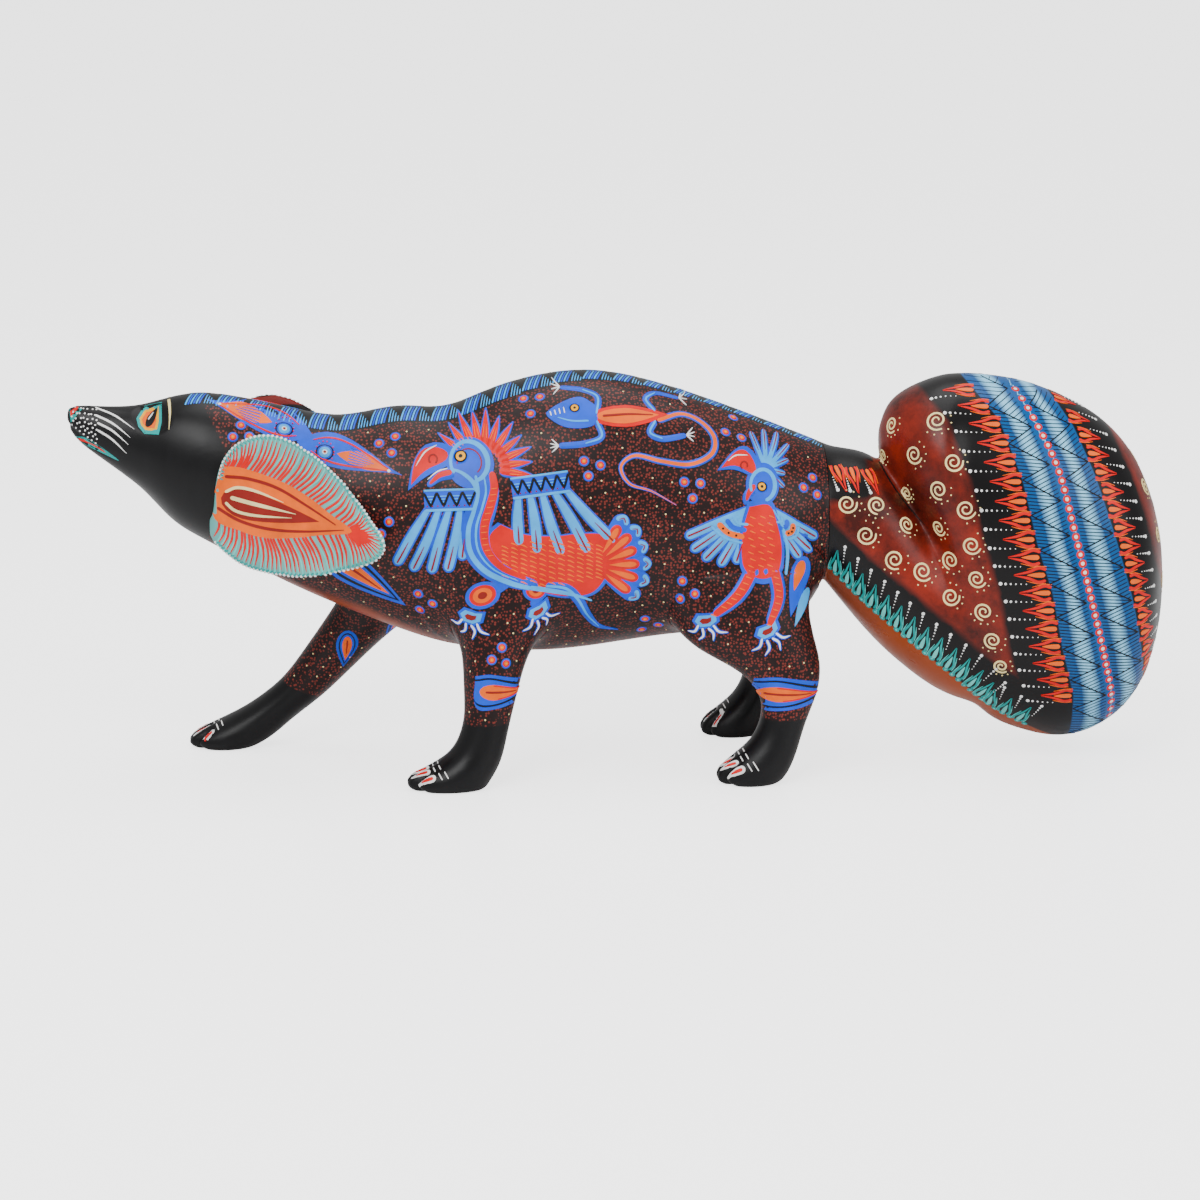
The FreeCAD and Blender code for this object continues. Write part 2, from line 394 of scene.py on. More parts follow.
def half_of(whole, sign, seam):
    """One side of a mesh that split_off has cut, capped and with its seam's normals kept."""
    bm = bmesh.new()
    bm.from_mesh(whole)
    mark = bm.faces.layers.int.new("cap")
    level = bm.verts.layers.float["level"]
    away = [f for f in bm.faces if sum(v[level] for v in f.verts) * sign < 0]
    bmesh.ops.delete(bm, geom=away, context="FACES")
    edges = [e for e in bm.edges if e.is_boundary]
    caps = bmesh.ops.holes_fill(bm, edges=edges, sides=0)["faces"]
    caps = bmesh.ops.triangulate(bm, faces=caps)["faces"]
    for face in caps:
        face[mark] = 1
    bm.verts.layers.float.remove(level)
    mesh = bpy.data.meshes.new("half")
    bm.to_mesh(mesh)
    bm.free()
    mesh.shade_smooth()
    normals = [(0, 0, 0)] * len(mesh.loops)
    is_cap = mesh.attributes["cap"].data
    for face in mesh.polygons:
        for loop in face.loop_indices:
            place = mesh.vertices[mesh.loops[loop].vertex_index].co
            kept = seam.get(tuple(round(c, 7) for c in place))
            if is_cap[face.index].value:
                normals[loop] = face.normal
            elif kept is not None:
                normals[loop] = kept
    mesh.normals_split_custom_set(normals)
    return mesh


def socket_tools():
    """Cutters for the three sockets in the body."""
    low, high = TAIL_PEG_LOW, TAIL_PEG_HIGH
    radius = (high.z - low.z) / 2 + SOCKET_PLAY
    tools = [rod((low.x - 2 * MM, 0, TAIL_PEG_MIDDLE.z), (RUMP_X + 9 * MM, 0, TAIL_PEG_MIDDLE.z), radius)]
    for ear in EARS:
        low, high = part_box(ear + "_peg")
        side = NEAR if high.y < 0 else FAR
        middle = (low + high) / 2
        inner = side * (min(abs(low.y), abs(high.y)) - 2 * MM)
        tools.append(
            rod((middle.x, inner, middle.z), (middle.x, side * 45 * MM, middle.z),
                (high.z - low.z) / 2 + SOCKET_PLAY)
        )
    return tools


whole = whole_skin()
cut_toes(whole)
cut_mouth(whole)
figure_tree = tree_of(whole.data)

FAR_END = cad_box[1][0] + 0.05
tail = copy_of(whole, "tail")
cut_with(tail, block((-0.5, -0.2, -0.1), (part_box("tail")[0].x, 0.2, 0.4)))
body = copy_of(whole, "body_carving")
cut_with(body, block((RUMP_X, -0.2, -0.1), (FAR_END, 0.2, 0.4)))

leg_skins = {}
for leg in LEGS:
    places = as_array(body.data)
    torso_gap = across(places)
    limb = tree_of(nodes[leg + "_leg"].data)
    values = np.full(len(places), SHOULDER_BLEND)
    for number in np.flatnonzero(places[:, 2] < LEG_TOP + 2 * MM):
        gap = signed_gap(limb, Vector(places[number]), SHOULDER_BLEND)
        if gap < SHOULDER_BLEND * 0.99:
            values[number] = gap - torso_gap[number]
    values = np.maximum(values, places[:, 2] - LEG_TOP)
    leg_skins[leg] = split_off(body, values, leg + "_leg")

cut_with(body, *socket_tools())
drop(whole)

ear_skins = {ear: skin_over(ear, [nodes[ear]], 0.8 * MM, 4) for ear in EARS}


# ------------------------------------------------------------------- zones --


# Heights and places along the figure, in millimetres, that bound its painted zones.
HEAD_EDGE = ((110, -209), (120, -204), (135, -199), (150, -194), (167, -195), (174, -198), (189, -206),
             (199, -212))
SPINE_HALF = ((-215, 12), (-150, 17), (-60, 17), (-20, 13), (40, 9), (110, 9))
BELLY_RISE = ((-200, 0), (-175, 3), (-150, 7), (-125, 9), (-90, 5), (-75, 2), (60, 2), (80, 0))
BAND_LEFT = ((5, 227), (38, 224), (65, 216), (93, 210), (118, 202), (149, 195), (177, 185), (195, 170),
             (206, 158))
BAND_RIGHT = ((-5, 271), (32, 265), (61, 258), (89, 251), (119, 242), (150, 232), (172, 223), (186, 214),
              (206, 196))
BEADS = ((0, 252), (23, 246), (37, 244), (59, 238), (88, 230), (122, 221), (154, 213), (180, 201),
         (193, 193), (206, 180))
TEAL_EDGE = ((99, 106), (119, 86), (140, 68), (162, 50), (184, 30), (205, 18), (232, 4), (262, -8))
SOCK_TOP = 33.0
COAT_MARGIN = 2


def far_sock_top(x):
    """The slanting top of the striding foreleg's sock."""
    return 31 - 0.44 * (x + 160)


def note(thing, name, values):
    """Store a number for every vertex of a skin, for its material to read."""
    layer = thing.data.attributes.new(name, "FLOAT", "POINT")
    layer.data.foreach_set("value", np.asarray(values, dtype=np.float32))


def mark_body(thing, is_leg=False, is_far_front=False):
    """Signed distances, in millimetres, into the black head, spine, belly and socks."""
    x, y, z = (as_array(thing.data) / MM).T
    middle, tall, _ = (np.interp(x * MM, PROFILE[:, 0], PROFILE[:, i]) for i in (1, 2, 3))
    under = (middle - tall) / MM
    edge = steps(z, HEAD_EDGE)
    note(thing, "head", edge - x)
    note(thing, "spine", np.where(z > middle / MM, steps(x, SPINE_HALF) - np.abs(y), -20))
    belly = np.where(np.abs(y) < 40, under + steps(x, BELLY_RISE) - z, -20)
    note(thing, "belly", np.full(len(z), -20.0) if is_leg else belly)
    sock = far_sock_top(x) - z if is_far_front else SOCK_TOP - z
    note(thing, "sock", np.where(z < 70, sock, -20))


def mark_tail(thing):
    """Zones of the tail: the blue band, the plain underside and how black the ground is."""
    x, y, z = (as_array(thing.data) / MM).T
    left, right, beads = steps(z, BAND_LEFT), steps(z, BAND_RIGHT), steps(z, BEADS)
    lean = 0.93
    note(thing, "band", np.minimum(x - left, right - x) * lean)
    half = np.where(x < beads, (x - left) / (beads - left), (x - beads) / (right - beads))
    note(thing, "across_band", half)
    rise = (z - steps(x, TEAL_EDGE)) * 0.72
    note(thing, "under", np.where(x < 232, -rise, -20))
    to_band = np.minimum(np.abs(x - left), np.abs(x - right)) * lean
    black = 1 - ease(np.where(x < left, to_band - 21, to_band - 15), 0, 7)
    black = np.maximum(black, 1 - ease(rise, 15, 22) * ease(x, 90, 104))
    seam_top = (1 - ease(x, 118, 130)) * ease(z, 133, 141)
    black = np.maximum(black, seam_top)
    note(thing, "black", np.clip(black, 0, 1))
    note(thing, "spine", np.where((x < 126) & (z > 140), 9 - np.abs(y), -20))


def mark_ear(thing, side):
    """Which face of the ear looks out."""
    normals = as_array(thing.data, "normal")
    note(thing, "outer", normals[:, 1] * side)


# --------------------------------------------------------------- materials --


class Recipe:
    """A material built node by node around one Principled shader."""

    def __init__(self, name):
        self.material = bpy.data.materials.new(name)
        self.material.use_nodes = True
        self.tree = self.material.node_tree
        self.shader = self.tree.nodes["Principled BSDF"]
        self.shader.inputs["Specular IOR Level"].default_value = 0.24
        self.place = self.node("ShaderNodeTexCoord").outputs["Object"]

    def node(self, kind, settings=None, **inputs):
        """A node with settings made and inputs joined or filled in, by name or as i0, i1 and so on."""
        made = self.tree.nodes.new(kind)
        for name, value in (settings or {}).items():
            setattr(made, name, value)
        for name, value in inputs.items():
            self.plug(made.inputs[int(name[1:]) if name[1:].isdigit() else name.replace("_", " ")], value)
        return made

    def plug(self, socket, value):
        if isinstance(value, bpy.types.NodeSocket):
            self.tree.links.new(value, socket)
        else:
            socket.default_value = value

    def math(self, operation, first, second=0.0, clamp=False):
        made = self.node("ShaderNodeMath", {"operation": operation, "use_clamp": clamp}, i0=first, i1=second)
        return made.outputs[0]

    def noise(self, scale, detail=3.0, rough=0.55, stretch=None):
        """Cloudy numbers from 0 to 1, optionally drawn out along an axis."""
        place = self.place
        if stretch:
            place = self.node("ShaderNodeMapping", Vector=place, Scale=stretch).outputs[0]
        made = self.node("ShaderNodeTexNoise", Vector=place, Scale=scale, Detail=detail, Roughness=rough)
        return made.outputs[0]

    def between(self, value, low, high):
        """A number spread from 0 to 1 between two limits."""
        made = self.node("ShaderNodeMapRange", i0=value, i1=low, i2=high)
        return made.outputs[0]

    def mix(self, share, first, second):
        made = self.node("ShaderNodeMix", {"data_type": "RGBA"}, i0=share, i6=first, i7=second)
        return made.outputs[2]

    def zone(self, name, soft=0.35):
        """1 inside a zone that is stored on the skin as signed distances in millimetres."""
        value = self.node("ShaderNodeAttribute", {"attribute_name": name}).outputs["Fac"]
        return self.between(value, -soft, soft)

    def finish(self, colour, rough=(0.34, 0.46), bump=0.12, grain=None):
        """Colour, uneven sheen and a brushed, hand-sanded surface."""
        self.plug(self.shader.inputs["Base Color"], colour)
        sheen = self.noise(38, 4, 0.6)
        self.plug(self.shader.inputs["Roughness"], self.node(
            "ShaderNodeMapRange", i0=sheen, i1=0.3, i2=0.7, i3=rough[0], i4=rough[1]).outputs[0])
        height = self.math("ADD", self.noise(260, 3, 0.6, (0.35, 1, 1)), self.math("MULTIPLY", sheen, 0.8))
        if grain:
            height = self.math("ADD", height, grain)
        relief = self.node("ShaderNodeBump", Height=height, Strength=bump, Distance=0.25 * MM)
        self.plug(self.shader.inputs["Normal"], relief.outputs[0])
        return self.material


def rgb(text):
    """A screen colour such as 0F7BE0 as linear red, green, blue and alpha."""
    parts = [int(text[i : i + 2], 16) / 255 for i in (0, 2, 4)]
    return tuple(p / 12.92 if p <= 0.04045 else ((p + 0.055) / 1.055) ** 2.4 for p in parts) + (1.0,)


INK = {
    "blue": "0050E6",
    "light_blue": "3AB2FF",
    "red": "E40806",
    "orange": "FF6800",
    "dark_red": "901E16",
    "cream": "FFE9A4",
    "yellow": "FFB000",
    "white": "FCFCFA",
    "teal": "00A09C",
    "aqua": "66D8D0",
    "black": "0A0A0C",
}


def paint(name):
    """Acrylic of one colour, a little uneven as brushed paint is."""
    recipe = Recipe("paint_" + name)
    base = rgb(INK[name])
    deep = tuple(c * 0.78 for c in base[:3]) + (1.0,)
    patches = recipe.between(recipe.noise(85, 3, 0.6), 0.3, 0.62)
    return recipe.finish(recipe.mix(patches, deep, base), bump=0.08)


def stipple(recipe, ground, mark, size):
    """Close rows of small dots over a darker ground."""
    cells = recipe.node(
        "ShaderNodeTexVoronoi", {"voronoi_dimensions": "3D"},
        Vector=recipe.place, Scale=1 / size, Randomness=0.75,
    )
    dots = recipe.node("ShaderNodeMapRange", i0=cells.outputs["Distance"], i1=0.44, i2=0.30).outputs[0]
    return recipe.mix(dots, ground, mark)


def body_paint():
    """Stippled brown coat, black head, spine and socks, rust belly."""
    recipe = Recipe("body_paint")
    shade = recipe.between(recipe.noise(14, 3), 0.35, 0.65)
    ground = recipe.mix(shade, rgb("150909"), rgb("1F0E0D"))
    mark = recipe.mix(shade, rgb("6A2620"), rgb("7A2E25"))
    coat = stipple(recipe, ground, mark, 1.5 * MM)
    black = recipe.mix(recipe.between(recipe.noise(60, 4, 0.65, (1, 1, 0.25)), 0.3, 0.7), rgb("060607"),
                       rgb("0E0E10"))
    rust = recipe.mix(shade, rgb("7A2C10"), rgb("96401A"))
    coat = recipe.mix(recipe.zone("belly", 2.5), coat, rust)
    for zone in ("spine", "sock", "head"):
        coat = recipe.mix(recipe.zone(zone), coat, black)
    return recipe.finish(coat, rough=(0.30, 0.44))


def tail_paint():
    """Mottled rust between black grounds, a pale-streaked blue band and a plain underside."""
    recipe = Recipe("tail_paint")
    cloud = recipe.between(recipe.noise(34, 6, 0.72), 0.38, 0.64)
    broad = recipe.between(recipe.noise(13, 3), 0.36, 0.62)
    mottle = recipe.mix(cloud, rgb("45120B"), rgb("A02A18"))
    mottle = recipe.mix(recipe.math("MULTIPLY", broad, 0.6), mottle, rgb("2A0D09"))
    black = recipe.node("ShaderNodeAttribute", {"attribute_name": "black"}).outputs["Fac"]
    ragged = recipe.math("ADD", black, recipe.math("MULTIPLY", recipe.math("SUBTRACT", cloud, 0.5), 0.35))
    coat = recipe.mix(recipe.between(ragged, 0.25, 0.8), mottle, rgb("080607"))
    place = recipe.node("ShaderNodeAttribute", {"attribute_name": "across_band"}).outputs["Fac"]
    off_centre = recipe.math("ABSOLUTE", recipe.math("SUBTRACT", place, 0.5))
    streak = recipe.math("ADD", off_centre, recipe.math("MULTIPLY", recipe.noise(55, 4, 0.6, (1, 1, 0.3)),
                                                        0.22))
    pale = recipe.node("ShaderNodeMapRange", i0=streak, i1=0.16, i2=0.36).outputs[0]
    band = recipe.mix(pale, rgb("8CD2F4"), rgb("055090"))
    plain = recipe.mix(broad, rgb("8C360C"), rgb("A24614"))
    coat = recipe.mix(recipe.zone("band"), coat, band)
    coat = recipe.mix(recipe.zone("under"), coat, plain)
    coat = recipe.mix(recipe.zone("spine"), coat, rgb("0D0D10"))
    return recipe.finish(coat, rough=(0.26, 0.38))


def ear_paint():
    """Pale aqua outside; dark red with rows of black zigzag scales inside."""
    recipe = Recipe("ear_paint")
    cloud = recipe.between(recipe.noise(30, 4), 0.35, 0.65)
    outside = recipe.mix(cloud, rgb("4F9C98"), rgb("74BBB4"))
    folded = recipe.node(
        "ShaderNodeTexWave", {"bands_direction": "Z", "wave_profile": "TRI"},
        Vector=recipe.place, Scale=38.0, Distortion=3.2, Detail=0.0,
    )
    inside = recipe.mix(recipe.between(folded.outputs[1], 0.35, 0.5), rgb("0D0505"), rgb("7C1C14"))
    return recipe.finish(recipe.mix(recipe.zone("outer", 0.1), inside, outside), rough=(0.32, 0.44))


def bare_copal():
    """Pale bare wood with fine grain along the rod and darker pores."""
    recipe = Recipe("bare_copal")
    rings = recipe.noise(120, 4, 0.6, (0.15, 1, 1))
    pores = recipe.noise(900, 2, 0.5, (0.06, 1, 1))
    wood = recipe.mix(recipe.between(rings, 0.35, 0.65), rgb("C69A63"), rgb("E2C190"))
    wood = recipe.mix(recipe.between(pores, 0.60, 0.72), wood, rgb("8E6336"))
    grain = recipe.math("MULTIPLY", pores, 1.5)
    return recipe.finish(wood, rough=(0.55, 0.7), bump=0.3, grain=grain)


# --------------------------------------------------------------- paint kit --

SINK = 0.25 * MM
LIFT = 0.10 * MM
LAYER = 0.10 * MM
LOOK_STEP = 0.9


class Paints:
    """Raised paint: one mesh for each colour on each moving body."""

    def __init__(self):
        self.meshes = {}
        self.covered = set()

    def mesh(self, body, colour):
        return self.meshes.setdefault((body, colour), ([], []))

    def cover(self, spot):
        self.covered.add(cell_of(spot))

    def is_free(self, spot):
        """Whether nothing is painted within about two cells of a spot."""
        a, b, c = cell_of(spot)
        near = (-1, 0, 1)
        return not any((a + i, b + j, c + k) in self.covered for i in near for j in near for k in near)


def cell_of(spot, size=1.9 * MM):
    return tuple(int(math.floor(c / size)) for c in spot)


PAINTS = Paints()


class Side:
    """A skin seen square on from one side; points are (along, up) in millimetres."""

    def __init__(self, tree, body, side):
        self.tree = tree
        self.body = body
        self.side = side

    def place(self, point):
        """Where a point lands on the skin, and the skin's normal there."""
        start = Vector((point[0] * MM, self.side * 0.3, point[1] * MM))
        spot, normal, _, _ = self.tree.ray_cast(start, Vector((0, -self.side, 0)))
        return (spot, normal) if spot is not None else None


class Top(Side):
    """A skin seen from above; points are (along, out to one side) in millimetres."""

    def place(self, point):
        start = Vector((point[0] * MM, self.side * point[1] * MM, 0.4))
        spot, normal, _, _ = self.tree.ray_cast(start, Vector((0, 0, -1)))
        return (spot, normal) if spot is not None else None


class Behind(Side):
    """A skin seen from the tail's end; points are (along +Y, up) in millimetres."""

    def place(self, point):
        start = Vector((0.5, point[0] * MM, point[1] * MM))
        spot, normal, _, _ = self.tree.ray_cast(start, Vector((-1, 0, 0)))
        return (spot, normal) if spot is not None else None


class Patch:
    """A flat patch bent onto the skin; points are (ahead, to the left) in millimetres from its middle.

    Turned says how far, in degrees, the patch's ahead is turned from the view's first axis.
    """

    def __init__(self, view, middle, turned=0.0):
        self.tree = view.tree
        self.body = view.body
        self.side = view.side
        seen = view.place(middle) or view.tree.find_nearest(Vector((middle[0] * MM, 0.04 * view.side,
                                                                    middle[1] * MM)))
        self.spot, self.normal = seen[:2]
        ahead = Vector((1, 0, 0))
        if abs(self.normal.x) > 0.75:
            ahead = Vector((0, -self.side * 0.98 * math.copysign(1, self.normal.x), 0.2))
        ahead = (ahead - self.normal * ahead.dot(self.normal)).normalized()
        left = self.normal.cross(ahead) * -self.side
        angle = math.radians(turned)
        self.ahead = ahead * math.cos(angle) + left * math.sin(angle)
        self.left = left * math.cos(angle) - ahead * math.sin(angle)

    def aimed(self, heading):
        """Turn the patch so that ahead follows a direction in space."""
        self.ahead = (heading - self.normal * heading.dot(self.normal)).normalized()
        self.left = self.normal.cross(self.ahead) * -self.side
        return self

    def place(self, point):
        spot = self.spot + self.ahead * point[0] * MM + self.left * point[1] * MM
        found, normal, _, _ = self.tree.find_nearest(spot)
        return (found, normal) if found is not None else None


def numbers(*points):
    """Points as arrays, to be added and scaled."""
    return [np.array(point, dtype=float) for point in points]


def heading(start, end):
    """The unit step from one point to another, and the unit step to its left."""
    way = (end - start) / np.linalg.norm(end - start)
    return way, np.array((-way[1], way[0]))


def curve(points, step=LOOK_STEP, straight=False):
    """Points closely spaced along a smooth line through a few given ones."""
    given = numbers(*points)
    if len(given) == 2 or straight:
        line = [given[0]]
        for a, b in zip(given, given[1:]):
            count = max(1, int(np.linalg.norm(b - a) / step))
            line += [a + (b - a) * i / count for i in range(1, count + 1)]
        return line
    ends = [2 * given[0] - given[1]] + given + [2 * given[-1] - given[-2]]
    line = [given[0]]
    for a, b, c, d in zip(ends, ends[1:], ends[2:], ends[3:]):
        count = max(2, int(np.linalg.norm(c - b) / step))
        for i in range(1, count + 1):
            t = i / count
            bend = (2 * a - 5 * b + 4 * c - d) * t**2
            line.append(0.5 * (2 * b + (c - a) * t + bend + (3 * b - a - 3 * c + d) * t**3))
    return line


def with_ends(line, radius):
    """Extra points close to both ends, so that rounded ends come out round."""
    extra = []
    for end, ahead in ((line[0], line[1]), (line[-1], line[-2])):
        way = ahead - end
        length = np.linalg.norm(way)
        extra.append([end + way * min(0.9, radius * share / max(length, 1e-6)) for share in (0.12, 0.45)])
    return [line[0]] + extra[0] + line[1:-1] + extra[1][::-1] + [line[-1]]


def stroke(view, colour, points, width, level=1, thin=(1.0, 1.0), straight=False):
    """A raised brush stroke; thin gives its share of the full width at each end."""
    line = curve(points, straight=straight, step=LOOK_STEP if width > 0.9 else 1.3)
    if len(line) < 3:
        line = [line[0], (line[0] + line[-1]) / 2, line[-1]]
    line = with_ends(line, width / 2)
    lengths = np.concatenate([[0], np.cumsum([np.linalg.norm(b - a) for a, b in zip(line, line[1:])])])
    total = max(lengths[-1], 1e-6)
    run = []
    for point, along in zip(line, lengths):
        share = along / total
        half = width / 2 * envelope(share, thin)
        from_end = min(along, total - along)
        if from_end < half:
            half *= max(0.16, math.sqrt(max(0, 1 - (1 - from_end / half) ** 2)))
        seen = view.place(point)
        gap = seen and run and (seen[0] - run[-1][0]).length > 6 * MM
        if seen is None or gap:
            ribbon(view, colour, run, level)
            run = []
        if seen is not None:
            run.append((seen[0], seen[1], max(half, 0.10) * MM))
    ribbon(view, colour, run, level)


def envelope(share, thin):
    """Share of the full width along a stroke, full about a third from its fatter end."""
    fat = 0.3 if thin[0] > thin[1] else 0.7 if thin[0] < thin[1] else 0.5
    if share < fat:
        return thin[0] + (1 - thin[0]) * math.sin(math.pi / 2 * share / fat)
    rest = (1 - share) / (1 - fat)
    return thin[1] + (1 - thin[1]) * math.sin(math.pi / 2 * rest)


def ribbon(view, colour, run, level):
    """The closed, crowned strip of paint for one unbroken run of a stroke."""
    if len(run) < 2:
        return
    verts, faces = PAINTS.mesh(view.body, colour)
    first = len(verts)
    is_fine = max(half for _, _, half in run) < 0.5 * MM
    shape = ((-1, 0), (-0.8, 0.8), (0.8, 0.8), (1, 0)) if is_fine else ((-1, 0), (-0.88, 0.8), (0, 1),
                                                                        (0.88, 0.8), (1, 0))
    rise = LIFT + LAYER * level
    for i, (spot, normal, half) in enumerate(run):
        before, after = run[max(0, i - 1)][0], run[min(len(run) - 1, i + 1)][0]
        across_way = normal.cross(after - before)
        across_way = across_way.normalized() if across_way.length > 1e-9 else Vector((0, 0, 1))
        crown = min(0.05 * MM, half * 0.15)
        PAINTS.cover(spot)
        for out, up in shape:
            if half > 1.2 * MM and out:
                base, way, _, _ = view.tree.find_nearest(spot + across_way * half * out)
                PAINTS.cover(base)
            else:
                base, way = spot + across_way * half * out, normal
            height = -SINK if up == 0 else rise + (crown if up == 1 else 0)
            verts.append(base + way * height)
    count = len(shape)
    for i in range(len(run) - 1):
        a = first + i * count
        for k in range(count):
            other = (k + 1) % count
            faces.append((a + k, a + other, a + count + other, a + count + k))
    last = first + (len(run) - 1) * count
    faces.append(tuple(first + k for k in reversed(range(count))))
    faces.append(tuple(last + k for k in range(count)))


def fill(view, colour, outline, level=0, smooth=True, grid=2.3):
    """A raised area of paint inside a closed outline."""
    if smooth:
        line = curve(list(outline) + [outline[0]], 1.0)[:-1]
    else:
        line = curve(list(outline) + [outline[0]], 1.0, straight=True)[:-1]
    ring = np.array(line)
    inner = [p for p in grid_points(ring, grid) if is_inside(p, ring, 0.7)]
    flat = [Vector(p) for p in line] + [Vector(p) for p in inner]
    spots, _, triangles, _, _, _ = delaunay_2d_cdt(flat, [], [list(range(len(line)))], 1, 1e-5)
    seen = [view.place(p) for p in spots]
    triangles = [t for t in triangles if all(seen[v] is not None for v in t)]
    triangles = [t for t in triangles if not is_torn([seen[v][0] for v in t])]
    if not triangles:
        return
    a, b, c = (seen[v][0] for v in triangles[0])
    if (b - a).cross(c - a).dot(seen[triangles[0][0]][1]) < 0:
        triangles = [tuple(reversed(t)) for t in triangles]
    verts, faces = PAINTS.mesh(view.body, colour)
    used = sorted({v for t in triangles for v in t})
    upper = {v: len(verts) + 2 * i for i, v in enumerate(used)}
    rise = LIFT + LAYER * level
    for v in used:
        spot, normal = seen[v]
        PAINTS.cover(spot)
        verts.append(spot + normal * rise)
        verts.append(spot - normal * SINK)
    edges = set()
    for t in triangles:
        faces.append(tuple(upper[v] for v in t))
        faces.append(tuple(upper[v] + 1 for v in reversed(t)))
        edges.update(zip(t, t[1:] + t[:1]))
    for start, end in edges:
        if (end, start) not in edges:
            faces.append((upper[end], upper[start], upper[start] + 1, upper[end] + 1))


def is_torn(corners, limit=9 * MM):
    """Whether a triangle jumps from one part of the figure to another."""
    return any((a - b).length > limit for a, b in zip(corners, corners[1:] + corners[:1]))


def grid_points(ring, grid):
    low, high = ring.min(axis=0), ring.max(axis=0)
    for i, x in enumerate(np.arange(low[0], high[0] + grid, grid)):
        for y in np.arange(low[1] + (i % 2) * grid / 2, high[1] + grid, grid):
            yield (x, y)


def is_inside(point, ring, margin=0.0):
    """Whether a point is inside a closed line, and at least a margin away from it."""
    x, y = point
    a, b = ring, np.roll(ring, -1, axis=0)
    crosses = (a[:, 1] > y) != (b[:, 1] > y)
    with np.errstate(divide="ignore", invalid="ignore"):
        at = (b[:, 0] - a[:, 0]) * (y - a[:, 1]) / (b[:, 1] - a[:, 1]) + a[:, 0]
    is_in = np.count_nonzero(crosses & (x < at)) % 2 == 1
    return is_in and (margin == 0 or np.hypot(*(ring - (x, y)).T).min() > margin)


def dot(view, colour, middle, radius, level=0):
    """A round drop of paint."""
    seen = view.place(middle)
    if seen is None:
        return
    spot, normal = seen
    count = 7 if radius < 0.8 else 10 if radius < 1.6 else 20
    verts, faces = PAINTS.mesh(view.body, colour)
    first = len(verts)
    ahead = normal.orthogonal().normalized()
    left = normal.cross(ahead)
    rise = LIFT + LAYER * level
    crown = min(0.10, radius * 0.25) * MM
    for i in range(count):
        angle = 2 * math.pi * i / count
        way = ahead * math.cos(angle) + left * math.sin(angle)
        base, up = spot, normal
        if radius > 1.4:
            base, up, _, _ = view.tree.find_nearest(spot + way * radius * MM)
            verts += [base - up * SINK, base - way * radius * 0.14 * MM + up * rise]
            PAINTS.cover(base)
        else:
            verts += [spot + way * radius * MM - normal * SINK,
                      spot + way * radius * 0.84 * MM + normal * rise]
    verts.append(spot + normal * (rise + crown))
    PAINTS.cover(spot)
    top = first + 2 * count
    for i in range(count):
        a, b = first + 2 * i, first + 2 * ((i + 1) % count)
        faces.append((a, b, b + 1, a + 1))
        faces.append((a + 1, b + 1, top))
    faces.append(tuple(first + 2 * i for i in reversed(range(count))))


def rings(view, middle, *colours, base=0):
    """Dots of shrinking size, one on another."""
    for level, (colour, radius) in enumerate(colours):
        dot(view, colour, middle, radius, base + level)


def leaf_line(root, tip, width, fat=0.3, bend=0.0):
    """Outline of a leaf or drop: blunt at the root, pointed at the tip, widest part way along."""
    root, tip = numbers(root, tip)
    way = tip - root
    length = np.linalg.norm(way)
    way /= length
    side = np.array((-way[1], way[0]))
    near = [fat * (1 - math.cos(math.pi / 2 * i / 4)) for i in range(5)]
    shares = near + [fat + (1 - fat) * i / 7 for i in range(1, 8)]
    up, down = [], []
    for share in shares:
        if share < fat:
            half = math.sqrt(max(0, 1 - ((fat - share) / fat) ** 2))
        else:
            half = 1 - ((share - fat) / (1 - fat)) ** 1.5
        middle = root + way * length * share + side * bend * math.sin(math.pi * share)
        up.append(middle + side * half * width / 2)
        down.append(middle - side * half * width / 2)
    return up[:-1] + [tip] + down[1:-1][::-1]


def leaf(view, colour, root, tip, width, level=0, fat=0.3, bend=0.0):
    """A filled leaf or drop."""
    fill(view, colour, leaf_line(root, tip, width, fat, bend), level, smooth=False)


def spindle_line(root, tip, width, fat=0.6, bend=0.0):
    """Outline of a leaf that is drawn out to a point at both ends."""
    root, tip = numbers(root, tip)
    side = np.array((root[1] - tip[1], tip[0] - root[0]))
    side /= np.linalg.norm(side)
    up, down = [], []
    for i in range(13):
        share = i / 12
        if share < fat:
            half = math.sin(math.pi / 2 * share / fat) ** 1.5
        else:
            half = math.cos(math.pi / 2 * (share - fat) / (1 - fat)) ** 0.8
        middle = root + (tip - root) * share + side * bend * math.sin(math.pi * share)
        up.append(middle + side * half * width / 2)
        down.append(middle - side * half * width / 2)
    return up + down[1:-1][::-1]


def plume(view, root, tip, width, level=0, bend=0.0, core="dark_red"):
    """A round-tipped feather: blue, with a light blue middle and a dark shaft."""
    root, tip = numbers(root, tip)
    way, left = heading(root, tip)
    side = left * bend
    middle = (root + tip) / 2 + side
    stroke(view, "blue", [root, middle, tip], width, level, (0.6, 1.0))
    stroke(view, "light_blue", [root + way, middle, tip - way * 0.9], width - 1.7, level + 1, (0.5, 1.0))
    if core:
        stroke(view, core, [root * 0.4 + tip * 0.6 + side * 0.7, tip - way * 1.6], 1.0, level + 3, (0.3, 1.0))


def claw(view, root, tip, bend=1.5):
    """A curved white claw edged in blue."""
    root, tip = numbers(root, tip)
    way, left = heading(root, tip)
    middle = (root + tip) / 2 + left * bend
    stroke(view, "blue", [root, middle, tip + way * 0.6], 2.3, 2, (1.0, 0.3))
    stroke(view, "white", [root, middle, tip], 1.2, 4, (1.0, 0.25))


